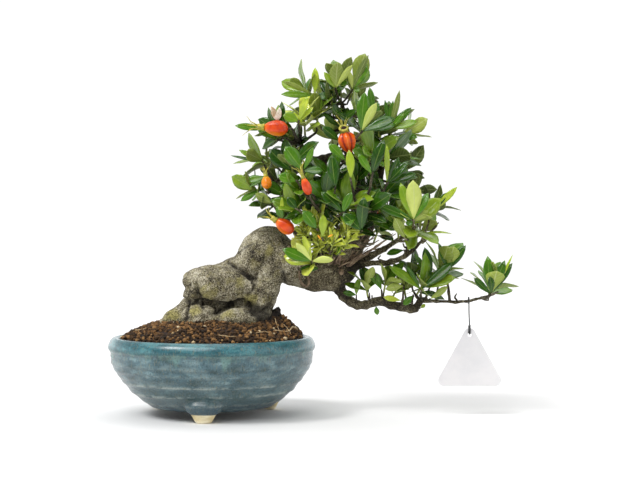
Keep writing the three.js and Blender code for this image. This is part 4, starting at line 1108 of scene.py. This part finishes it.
def make_trunk(thick):
    """Joins the lobes and limbs, presses the creases in, roughens the skin and marks lichen and painted shade
    in its folds, creases and hollows
    """
    bm = grown_together(tubes(thick, 8), WOOD_VOXEL, 3)
    fold = bm.verts.layers.float.new("fold")
    lichen = bm.verts.layers.float.new("lichen")

    # Creases: only on the front of the trunk, each also marked for painted shade along it
    marks = [
        (place, width, depth)
        for width, depth, points in CREASES
        for place, _ in sampled([(x, 0, z) for x, z in points], 1.2)
    ]
    tree = nearest_of([place for place, _, _ in marks])
    for v in bm.verts:
        if v.normal.y > 0.35 or v.co.y > 6 or v.co.x > 100:
            continue
        _, i, distance = tree.find(Vector((v.co.x, 0, v.co.z)))
        _, width, depth = marks[i]
        share = max(0, 1 - distance / width)
        share *= min(1, 0.75 + 0.6 * noise.noise(v.co / 7))
        share = share * share * (3 - 2 * share)
        v.co -= v.normal * depth * share
        v[fold] = share

    # Lumps 15, 6 and 2.6 mm across, weaker on the branches
    for v in bm.verts:
        bumps = noise.noise(v.co / 15) * 1.5 + noise.noise(v.co / 6 + Vector((9, 0, 0))) * 0.6
        bumps += noise.noise(v.co / 2.6 + Vector((0, 9, 0))) * 0.35
        v.co += v.normal * bumps * (1 if v.co.x < 165 and v.co.z < 215 else 0.4)
    bm.normal_update()

    # Painted shade in the folds, where the skin lies under a smoothed copy of itself, and on the limbs inside
    # the crown and along the low branch
    for rounds, low, high in FOLD_SHADE:
        flat = bm.copy()
        for _ in range(rounds):
            bmesh.ops.smooth_vert(
                flat, verts=flat.verts, factor=0.5, use_axis_x=True, use_axis_y=True, use_axis_z=True
            )
        flat.verts.ensure_lookup_table()
        for i, v in enumerate(bm.verts):
            sunk = (flat.verts[i].co - v.co).dot(v.normal)
            v[fold] = max(v[fold], min(0.9, (sunk - low) / (high - low)), limb_shade(v.co))
        flat.free()
    for v in bm.verts:
        near = max(1 - (v.co - Vector(p)).length / r for p, r in LICHEN)
        near += 0.5 * noise.noise(v.co / 7) + 0.3 * noise.noise(v.co / 3)
        v[lichen] = max(0, min(0.85, 1.7 * near))
        # Painted shade round the patches beside the leg's foot and on the trunk's right end
        patch_shade = max(1 - (v.co - Vector(p)).length / r for p, r in SHADE_PATCHES)
        v[fold] = max(v[fold], min(0.85, 2 * patch_shade))
    for face in bm.faces:
        middle = face.calc_center_median()
        limit = BRANCH_BARK_X if middle.z < BRANCH_BARK_Z else BRANCH_BARK_HIGH_X
        if middle.x + 12 * noise.noise(middle / 9) > limit:
            face.material_index = 1
    piece("trunk_and_limbs", bm, [TRUNK_BARK, BRANCH_BARK], "trunk_and_branches")


def make_wood(more_sprays):
    """The trunk with the thick parts of its branches, then the twigs, each led to what it carries"""
    thick, thin = [sampled(points, WOOD_STEP) for points in TRUNK.values()], []
    thick.append(sampled(TOE, 2))
    for seed, points in enumerate(BRANCHES.values()):
        route = gnarled(sampled(points, WOOD_STEP), 7 * seed, 0.35, 1.4)
        split = next((i for i, (_, r) in enumerate(route) if r < THIN_UNDER), len(route))
        if split > 2:
            thick.append(route[: split + 1])
        if split < len(route):
            thin.append(route[max(0, split - 2) :])
    make_trunk(thick)

    twigs = [gnarled(route, 300 + 5 * i, 0.3, 0.8) for i, route in enumerate(thin)]
    for i, spray in enumerate(SPRAYS + more_sprays):
        way, _, start = shoot_of(spray)
        points = twig_to(start - GAP * way, way, TWIG_END_RADIUS)
        twigs.append(gnarled(sampled(points, 4), 400 + 3 * i, 0.45, 1.2))
    for i, (place, leaves) in enumerate(FACING):
        way = unit((sum(leaf[0] for leaf in leaves), -12, sum(leaf[1] for leaf in leaves) + 8))
        points = twig_to(Vector(place) + 0.5 * way, way, FACING_TWIG_RADIUS, FACING_LEAD_IN)
        twigs.append(gnarled(sampled(points, 4), 700 + 3 * i, 0.45, 1.2))
    for i, (base, tip, _, _) in enumerate(FRUITS):
        way = unit(Vector(tip) - Vector(base))
        points = twig_to(Vector(base) + 0.5 * way, way, FRUIT_STALK_RADIUS)
        twigs.append(gnarled(sampled(points, 4), 900 + 3 * i, 0.3, 0.8))
    for i, (end, way) in enumerate(BARE_TWIGS):
        points = twig_to(Vector(end), unit(way), BARE_TWIG_RADIUS)
        twigs.append(gnarled(sampled(points, 3), 1200 + 3 * i, 0.5, 1.2))
    bm = tubes(twigs, 2)
    # Twigs are a little darker all over, and get painted shade inside the crown and along the low branch
    fold = bm.verts.layers.float.new("fold")
    for v in bm.verts:
        v[fold] = max(0.15, limb_shade(v.co))
    piece("fine_twigs", bm, [BRANCH_BARK])
    piece("bare_shoots", tubes(thicket(), 2), [SHOOT_BARK])


def thicket():
    """Thin bare shoots that stand close together on the trunk's right end, fanned out to the right"""
    draw = draws(THICKET_SEED)
    routes = []
    for i in range(THICKET_SHOOTS):
        foot = Vector([low + (high - low) * next(draw) for low, high in zip(THICKET_LOW, THICKET_HIGH)])
        lean = next(draw)
        reach = Vector((70 * lean - 8, -12 * next(draw) - 4, 54 - 24 * lean)) * (0.6 + 0.5 * next(draw))
        bend = foot + 0.5 * reach + Vector((0, 0, 8 * (next(draw) - 0.4)))
        points = [(*foot, 1.2), (*bend, 0.9), (*(foot + reach), 0.45)]
        routes.append(gnarled(sampled(points, WOOD_STEP), 1500 + 7 * i, 0.4, 2.2))
    return routes


# Leaves


def young_bush():
    """Shoots spread evenly through the bush's box, leaning outwards and up"""
    draw = draws(BUSH_SEED)
    shoots = []
    for _ in range(BUSH_SHOOTS):
        place = [low + (high - low) * next(draw) for low, high in zip(BUSH_LOW, BUSH_HIGH)]
        way = ((place[0] - BUSH_MIDDLE_X) / 40 + 0.4 * (next(draw) - 0.5), -0.5, 0.6 + 0.4 * next(draw))
        shoots.append(Shoot(place, way, 6, 13 + 5 * next(draw), YOUNG, 8))
    return shoots


def leaf_shape(root, way, face, long, wide, arch=0.12, widest=1.22, sway=0):
    """Where a leaf sits and how it is shaped, with its face turned square to its way"""
    face = Vector(face)
    face = (face - face.dot(way) * way).normalized()
    return {
        "root": Vector(root),
        "along": way,
        "face": face,
        "side": face.cross(way),
        "long": long,
        "wide": wide,
        "arch": arch,
        "widest": widest,
        "sway": sway,
    }


def leaf_plan(spray, index, k, attempt):
    """A leaf of a shoot, the same as in the model"""
    draw = draws(index * 100 + k)
    way, tip, start = shoot_of(spray)
    first, second = across_of(way)
    whorl = k // WHORL
    dodge = LEAF_TURN * math.ceil(attempt / 2) * (1 if attempt % 2 else -1)
    even = (k % WHORL) * (360 / WHORL) + whorl * (180 / WHORL) + SPRAY_TURN * index
    turn = math.radians(even + TURN_STRAY * (next(draw) - 0.5) + dodge)
    opening = math.radians(
        WHORL_OPENING[whorl] + OPENING_STRAY * (next(draw) - 0.5) + LEAF_OPEN_STEP * attempt
    )
    size = (0.88 + 0.36 * next(draw)) * (1 - 0.05 * whorl) * (1 - LEAF_SHRINK * attempt)
    along_leaf = way * math.cos(opening)
    along_leaf += (first * math.cos(turn) + second * math.sin(turn)) * math.sin(opening)
    out = Vector((tip.x - CROWN_MIDDLE.x, tip.y - CROWN_MIDDLE.y, 0)).normalized()
    face = way + FACE_OUT * out + Vector((0, 0, FACE_UP))
    face += first * FACE_STRAY * (next(draw) - 0.5)
    face += second * FACE_STRAY * (next(draw) - 0.5)
    long = spray.long * size
    return leaf_shape(
        start.lerp(tip, WHORL_PLACES[whorl]),
        along_leaf,
        face,
        long,
        wide=long * LEAF_WIDE * (0.9 + 0.25 * next(draw)),
        arch=LEAF_ARCH * (0.4 + 1.2 * next(draw)),
        widest=1.12 + 0.45 * next(draw),
        sway=0.22 * (next(draw) - 0.5),
    )


def leaf_point(leaf, t, s, width):
    """A point of a leaf at share t of its length and s of its half width"""
    rise = -leaf["arch"] * leaf["long"] * t * t + LEAF_LIFT * abs(s) * width * leaf["wide"] * 0.5
    return (
        leaf["root"]
        + leaf["along"] * leaf["long"] * t
        + leaf["face"] * rise
        + leaf["side"] * 0.5 * leaf["wide"] * s * width
    )


def leaf_bmesh():
    """An empty bmesh with what the leaf materials read"""
    bm = bmesh_with("age", "shade")
    bm.loops.layers.uv.new("leaf")
    return bm


def add_leaf(bm, leaf, age, shade, ripple):
    """A thin blade with a narrow root, a pointed tip, a fold along its rib and a wavy edge"""
    blade = leaf_bmesh()
    uv = blade.loops.layers.uv["leaf"]
    ages, shades = (blade.verts.layers.float[value] for value in ("age", "shade"))
    bmesh.ops.create_grid(blade, x_segments=8, y_segments=4, size=1)
    for face in blade.faces:
        face.smooth = True
        for loop in face.loops:
            loop[uv].uv = ((loop.vert.co.x + 1) / 2, (loop.vert.co.y + 1) / 2)
    for v in blade.verts:
        t, s = (v.co.x + 1) / 2, v.co.y
        width = 0.9 * math.sin(math.pi * t ** leaf["widest"]) ** 0.78 if 0 < t < 0.999 else 0
        v.co = leaf_point(leaf, t, s, width)
        edge = abs(s) ** 2 * width * math.sin(9 * t + ripple) * 0.05 * leaf["wide"]
        v.co += leaf["face"] * edge + leaf["side"] * leaf["sway"] * leaf["long"] * t * t
        v[ages] = age
        v[shades] = shade
    bmesh.ops.remove_doubles(blade, verts=blade.verts, dist=1e-3)
    tops = blade.faces[:]
    under = bmesh.ops.extrude_face_region(blade, geom=tops, use_keep_orig=True)["geom"]
    lowered = [g for g in under if isinstance(g, bmesh.types.BMVert)]
    bmesh.ops.translate(blade, vec=leaf["face"] * -LEAF_THICKNESS, verts=lowered)
    paint(blade.faces, 1)
    paint(tops, 0)
    bmesh.ops.recalc_face_normals(blade, faces=blade.faces)
    append(bm, blade)


def accepted_leaf(spray, index, k, corners):
    """The try at which the model set this leaf, found by its corners, or None where it was left out"""
    for attempt in range(LEAF_TRIES):
        leaf = leaf_plan(spray, index, k, attempt)
        places = [leaf_point(leaf, 1, 0, 0)]
        for t in CORNER_SHARES:
            width = math.sin(math.pi * t**1.27)
            places += [leaf_point(leaf, t, s, width) + leaf["face"] * 0.4 for s in (-1, 1)]
        if sum(corners.find(TO_FRAME @ p)[2] < CORNER_NEAR * MM for p in places) >= CORNERS_ENOUGH:
            return leaf
    return None


def add_stem(bm, spray):
    """The green shoot with its bud"""
    way, tip, start = shoot_of(spray)
    route = [(start - 0.4 * way, 1.25), (start.lerp(tip, 0.5), 1.15), (tip, 1)]
    route += [(tip + 3 * way, 1.25), (tip + 6.5 * way, 0.75), (tip + 8.5 * way, 0.15)]
    stem = tubes([route], 1)
    paint(stem.faces, 2)
    append(bm, stem)


def tone_of(spray, k, draw):
    """Age share of a leaf, 1 when it has just opened: the top whorl is the youngest, long leaves are older"""
    young = spray.tone + 0.13 - 0.1 * (k // WHORL) - 0.03 * max(0, spray.long - 36)
    young += 0.2 if spray.long < NARROW_UNDER else 0
    return max(0, min(1, young + 0.24 * (next(draw) - 0.5)))


def make_shoot(name, spray, leaves, shade, draw, node=None):
    """A leafy shoot from its leaves, with None for one that is left out"""
    bm = leaf_bmesh()
    for k, leaf in enumerate(leaves):
        if leaf:
            add_leaf(bm, leaf, tone_of(spray, k, draw), shade * next(draw), 6 * next(draw))
    add_stem(bm, spray)
    piece(name, bm, [LEAF_TOP, LEAF_UNDER, STEM], node)


def make_leaves(more_sprays):
    """The model's shoots with the model's own leaves, then the added ones"""
    for index, spray in enumerate(SPRAYS):
        node = f"spray_{index + 1:02d}"
        corners = nearest_of([v.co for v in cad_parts[node].data.vertices])
        leaves = [accepted_leaf(spray, index, k, corners) for k in range(spray.leaves)]
        draw = draws(SPRAY_SEED + index)
        make_shoot(f"leafy_shoot_{index + 1:02d}", spray, leaves, MODEL_SHADE, draw, node)
    for index, spray in enumerate(more_sprays):
        leaves = [leaf_plan(spray, 60 + index, k, 0) for k in range(spray.leaves)]
        if spray.long < NARROW_UNDER:
            for leaf in leaves:
                leaf["wide"] *= NARROWING
        draw = draws(MORE_SEED + index)
        make_shoot(f"more_leaves_{index + 1:02d}", spray, leaves, INNER_SHADE[spray.tone], draw)


def make_facing_leaves():
    """The large leaves in front, each group on its own twig end"""
    for index, (place, leaves) in enumerate(FACING):
        bm = leaf_bmesh()
        draw = draws(FACING_SEED + index)
        for across, up, wide, age, *lie in leaves:
            turned_over = BACK in lie or BROAD in lie
            reach = Vector((across, 0, up))
            long = reach.length
            way = reach + Vector((0, long * (0.25 * next(draw) - 0.3), 0))
            face = Vector((0.5 * (next(draw) - 0.5), 1 if turned_over else -1, 0.35))
            arch = 0.05 + 0.12 * next(draw)
            if BOWED in lie:
                way.z += 0.4 * long
                face, arch = Vector((0, -0.5, 1)), 0.4
            widest = 2.3 if BROAD in lie else 1.15 + 0.35 * next(draw)
            leaf = leaf_shape(place, unit(way), face, long, wide, arch, widest, 0.2 * (next(draw) - 0.5))
            add_leaf(bm, leaf, age, FRONT_SHADE * next(draw), 6 * next(draw))
        piece(f"facing_leaves_{index + 1:02d}", bm, [LEAF_TOP, LEAF_UNDER])


# Fruits


def make_fruits():
    """Ribbed fruits that narrow towards the calyx; the old one narrows towards its stalk"""
    for index, (base, tip, radius, ripeness) in enumerate(FRUITS):
        old = index == OLD_FRUIT
        relief = 1 if old else 0.45
        base, tip = Vector(base), Vector(tip)
        length, way = (tip - base).length, (tip - base).normalized()
        first, second = across_of(way)
        bm = bmesh_with("rib", "ripe")
        rib, ripe = (bm.verts.layers.float[value] for value in ("rib", "ripe"))
        bmesh.ops.create_uvsphere(bm, u_segments=48, v_segments=20, radius=1)
        for v in bm.verts:
            x, y, up = v.co
            share = (1 - up) / 2
            rise = 1 - share
            ridge = math.cos(FRUIT_RIBS * math.atan2(y, x))
            crest = max(0, ridge) ** 4
            belly = 1.18 - 0.66 * share**1.8 if old else 1.13 - 0.36 * rise**1.4
            radial = radius * belly * (0.94 + relief * (FRUIT_RIB_DEPTH * ridge + 0.03 * crest))
            out = second * x + first * y
            v.co = base + way * length * rise + out * radial
            v[rib] = crest * relief
            if old:
                v[ripe] = 0.6 + 0.45 * max(0, -ridge) ** 1.5
            else:
                v[ripe] = ripeness - 0.45 * max(0, rise - 0.72) / 0.28 - 0.8 * max(0, -out.z - 0.3)
        bmesh.ops.recalc_face_normals(bm, faces=bm.faces)
        piece(f"ripe_fruit_{index + 1}", bm, [SKIN], f"fruit_{index + 1}")
        make_calyx(index, base, length, way, radius, first, second)


def make_calyx(index, base, length, way, radius, first, second):
    """Collar and long curling lobes that stand on past the fruit"""
    draw = draws(CALYX_SEED + index)
    start = base + way * (length - 1)
    end = base + way * (length + GAP + length * COLLAR_LENGTH)
    collar = radius * COLLAR
    middle = start.lerp(end, 0.5)
    routes = [[(start, collar * 1.5), (middle, collar * 1.05), (end, collar * 1.2)]]
    for i in range(CALYX_LOBES):
        turn = (i + 0.4 * next(draw)) / CALYX_LOBES * 2 * math.pi
        out = first * math.cos(turn) + second * math.sin(turn)
        reach = length * CALYX_REACH * (0.7 + 0.5 * next(draw))
        root = middle + out * 0.55 * collar
        bend = root + way * 0.55 * reach + out * 0.25 * reach * CALYX_SPREAD
        tip = root + way * reach + out * reach * CALYX_SPREAD
        points = [(*root, 0.95), (*bend, 0.6), (*tip, 0.15)]
        routes.append(gnarled(sampled(points, 2), 40 * index + i, 0.2, 1.2))
    bm = tubes(routes, 2)
    if index == OLD_FRUIT:
        add_open_ring(bm, end)
    piece(f"curled_calyx_{index + 1}", bm, [CALYX_GREEN, THROAT_SHADE], f"calyx_{index + 1}")


def add_open_ring(bm, end):
    """The old flower's ring at the calyx's end, turned to the front, round a ball painted dark as the shade in
    its hollow
    """
    way = unit(RING_WAY)
    across, up = across_of(way)
    middle = end + Vector(RING_FORWARD)
    turns = [i / 16 * 2 * math.pi for i in range(17)]
    wide, high = RING_RADII
    ring = [(middle + wide * math.cos(a) * across + high * math.sin(a) * up, RING_THICKNESS) for a in turns]
    append(bm, tubes([ring], 2))
    # The throat: a ball painted nearly black as the shade inside the ring
    throat = bmesh.new()
    bmesh.ops.create_uvsphere(throat, u_segments=16, v_segments=8, radius=THROAT_RADIUS)
    bmesh.ops.translate(throat, vec=middle - THROAT_SUNK * way, verts=throat.verts)
    paint(throat.faces, 1)
    append(bm, throat)


# Tag and wire


def make_tag():
    """Blank tag: a flat curve with round corners and a hole, given a thickness and soft edges"""
    low = TAG_BOTTOM + TAG_CORNER
    reach = TAG_HALF - TAG_CORNER
    centres = [(TAG_X, TAG_TOP - TAG_CORNER), (TAG_X - reach, low), (TAG_X + reach, low)]
    slope = math.atan2(centres[0][1] - centres[1][1], centres[0][0] - centres[1][0])
    starts = [math.pi / 2 - slope, slope + math.pi / 2, -math.pi / 2]
    sweeps = [2 * slope, math.pi - slope, math.pi - slope]
    outline = []
    for (x, z), start, sweep in zip(centres, starts, sweeps):
        turns = [start + sweep * i / 10 for i in range(11)]
        outline += [(x + TAG_CORNER * math.cos(a), z + TAG_CORNER * math.sin(a)) for a in turns]
    ring = [i / 24 * 2 * math.pi for i in range(24)]
    hole = [(TAG_X + TAG_HOLE * math.cos(a), TAG_HOLE_Z + TAG_HOLE * math.sin(a)) for a in ring]
    curve = bpy.data.curves.new("tag", "CURVE")
    curve.dimensions = "2D"
    curve.fill_mode = "BOTH"
    curve.extrude = TAG_THICKNESS / 2 - TAG_EDGE
    curve.bevel_depth = TAG_EDGE
    curve.bevel_resolution = 2
    curve.offset = -TAG_EDGE
    for loop in (outline, hole):
        spline = curve.splines.new("POLY")
        spline.points.add(len(loop) - 1)
        spline.use_cyclic_u = True
        for point, (x, z) in zip(spline.points, loop):
            point.co = (x, z, 0, 1)
    bm = baked(placed("tag", curve))
    bmesh.ops.rotate(bm, cent=(0, 0, 0), matrix=Matrix.Rotation(math.pi / 2, 3, "X"), verts=bm.verts)
    bmesh.ops.translate(bm, vec=(0, TAG_Y, 0), verts=bm.verts)
    bmesh.ops.recalc_face_normals(bm, faces=bm.faces)
    piece("blank_tag", bm, [TAG_WHITE], "plant_tag", smooth=False)


def make_wire():
    """The wire from the branch through the tag's hole, and its end wound round it"""
    wire = [(place, WIRE_RADIUS) for place, _ in sampled(WIRE, 1.5)]
    twist = []
    for i in range(TWIST_STEPS * TWIST_TURNS + 1):
        turn, z = i / TWIST_STEPS * 2 * math.pi, TWIST_TOP - i * TWIST_RISE / TWIST_STEPS
        x, y = TWIST_X + TWIST_RADIUS * math.cos(turn), TWIST_Y + TWIST_RADIUS * math.sin(turn)
        twist.append((Vector((x, y, z)), END_RADIUS))
    piece("steel_wire", tubes([wire, twist], 2), [WIRE_STEEL], "tag_wire")


# Small things on the soil and the wood


def make_rootlets():
    routes = []
    for i, (radius, points) in enumerate(ROOTLETS):
        places = [(x, y, soil_height(x, y) + lift, radius) for x, y, lift in points]
        routes.append(gnarled(sampled(places, 2.5), 70 + i, 0.4, 1.2))
    piece("pale_rootlets", tubes(routes, 1), [ROOTLET])


def make_stump():
    """Lumps in one skin with a rough surface"""
    bm = bmesh.new()
    for *place, radius in STUMP_LUMPS:
        bmesh.ops.create_icosphere(bm, subdivisions=3, radius=radius, matrix=Matrix.Translation(place))
    bm = grown_together(bm, STUMP_VOXEL, 2)
    for v in bm.verts:
        v.co += v.normal * (noise.noise(v.co / 3.2) * 1.8 + noise.noise(v.co / 1.3) * 0.8)
    piece("dark_root_stump", bm, [STUMP])


def make_loop_and_stubs():
    routes = [gnarled(sampled(BARK_LOOP, 1.5), 3, 0.2, 0.5)]
    routes += [gnarled(sampled(stub, 1.5), 90 + i, 0.4, 0.4) for i, stub in enumerate(STUBS)]
    piece("bark_loop_and_stubs", tubes(routes, 2), [SHOOT_BARK])


def make_small_blades():
    """The flower's petals and the yellowed leaves, which have a leaf's form and one material each"""
    petals, yellowed = leaf_bmesh(), leaf_bmesh()
    for index, (way, long) in enumerate(PETALS):
        petal = leaf_shape(FLOWER_PLACE, unit(way), (0.3, -1, 0.3), long, PETAL_WIDE * long)
        add_leaf(petals, petal, 0.5, 0, 3 * index)
    for place, way in YELLOWED_LEAVES:
        leaf = leaf_shape(place, unit(way), (0.2, -1, 0.4), YELLOWED_LONG, YELLOWED_WIDE)
        add_leaf(yellowed, leaf, 0.5, 0, 1)
    paint(petals.faces, 0)
    paint(yellowed.faces, 0)
    piece("withered_flower", petals, [PETAL])
    piece("yellowed_leaves", yellowed, [YELLOWED])


# Setting


def make_floor():
    bm = bmesh.new()
    bmesh.ops.create_circle(bm, cap_ends=True, segments=96, radius=FLOOR_RADIUS)
    mesh = mesh_of(bm, "floor")
    mesh.materials.append(FLOOR_WHITE)
    placed("studio_floor", mesh)


def make_world():
    """A white room, brightest low down and behind the object, that the camera sees as plain white"""
    world = bpy.data.worlds.new("White studio")
    world.use_nodes = True
    tree = world.node_tree
    tree.nodes.clear()
    way = add(tree, "TexCoord", output="Generated")
    up = add(tree, "SeparateXYZ", {"Vector": way}, "Z")
    back = add(tree, "SeparateXYZ", {"Vector": way}, "Y")
    falloff = {"Value": up, "From Min": 0.16, "From Max": 0.4, "To Min": 1.05, "To Max": 0.4}
    glow = add(tree, "MapRange", falloff)
    depth = {"Value": back, "From Min": -0.8, "From Max": 0.6, "To Min": 0.3, "To Max": 1.7}
    room = add(tree, "MapRange", depth)
    glow = add(tree, "Math", {0: glow, 1: room}, operation="MULTIPLY")
    seen = add(tree, "LightPath", output="Is Camera Ray")
    glow = add(tree, "Mix", {"Factor": seen, "A": glow, "B": 1.05}, data_type="FLOAT")
    shine = add(tree, "Background", {"Color": "#ffffff", "Strength": glow})
    add(tree, "OutputWorld", {"Surface": shine})
    bpy.context.scene.world = world


def make_lights():
    """Broad suns light the whole floor evenly, as big softboxes would"""
    for name, (place, width, power) in SOFTBOXES.items():
        light = bpy.data.lights.new(name, "SUN")
        light.angle = math.radians(width)
        light.energy = power
        lamp = placed(name, light)
        lamp.location = place
        lamp.rotation_euler = (-Vector(place)).to_track_quat("-Z", "Y").to_euler()


def make_camera():
    camera = bpy.data.cameras.new("camera")
    camera.sensor_width = SENSOR_WIDTH
    camera.lens = FOCAL_PIXELS / PHOTO_WIDTH * SENSOR_WIDTH
    camera.clip_end = 50
    stand = placed("camera", camera)
    stand.location = POT_AXIS + Vector(CAMERA_PLACE) * MM
    stand.rotation_euler = (math.pi / 2, 0, 0)
    bpy.context.scene.camera = stand
    bpy.context.scene.view_settings.view_transform = "Standard"


more_sprays = MORE_SPRAYS + young_bush()
make_pot()
make_soil()
make_wood(more_sprays)
make_leaves(more_sprays)
make_facing_leaves()
make_fruits()
make_tag()
make_wire()
make_rootlets()
make_stump()
make_loop_and_stubs()
make_small_blades()
make_floor()
make_world()
make_lights()
make_camera()

for node, material in (("soil", GAP_SHADE_SOIL), ("drain_net", NET_BLACK)):
    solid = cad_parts[node].data
    solid.materials.clear()
    solid.materials.append(material)
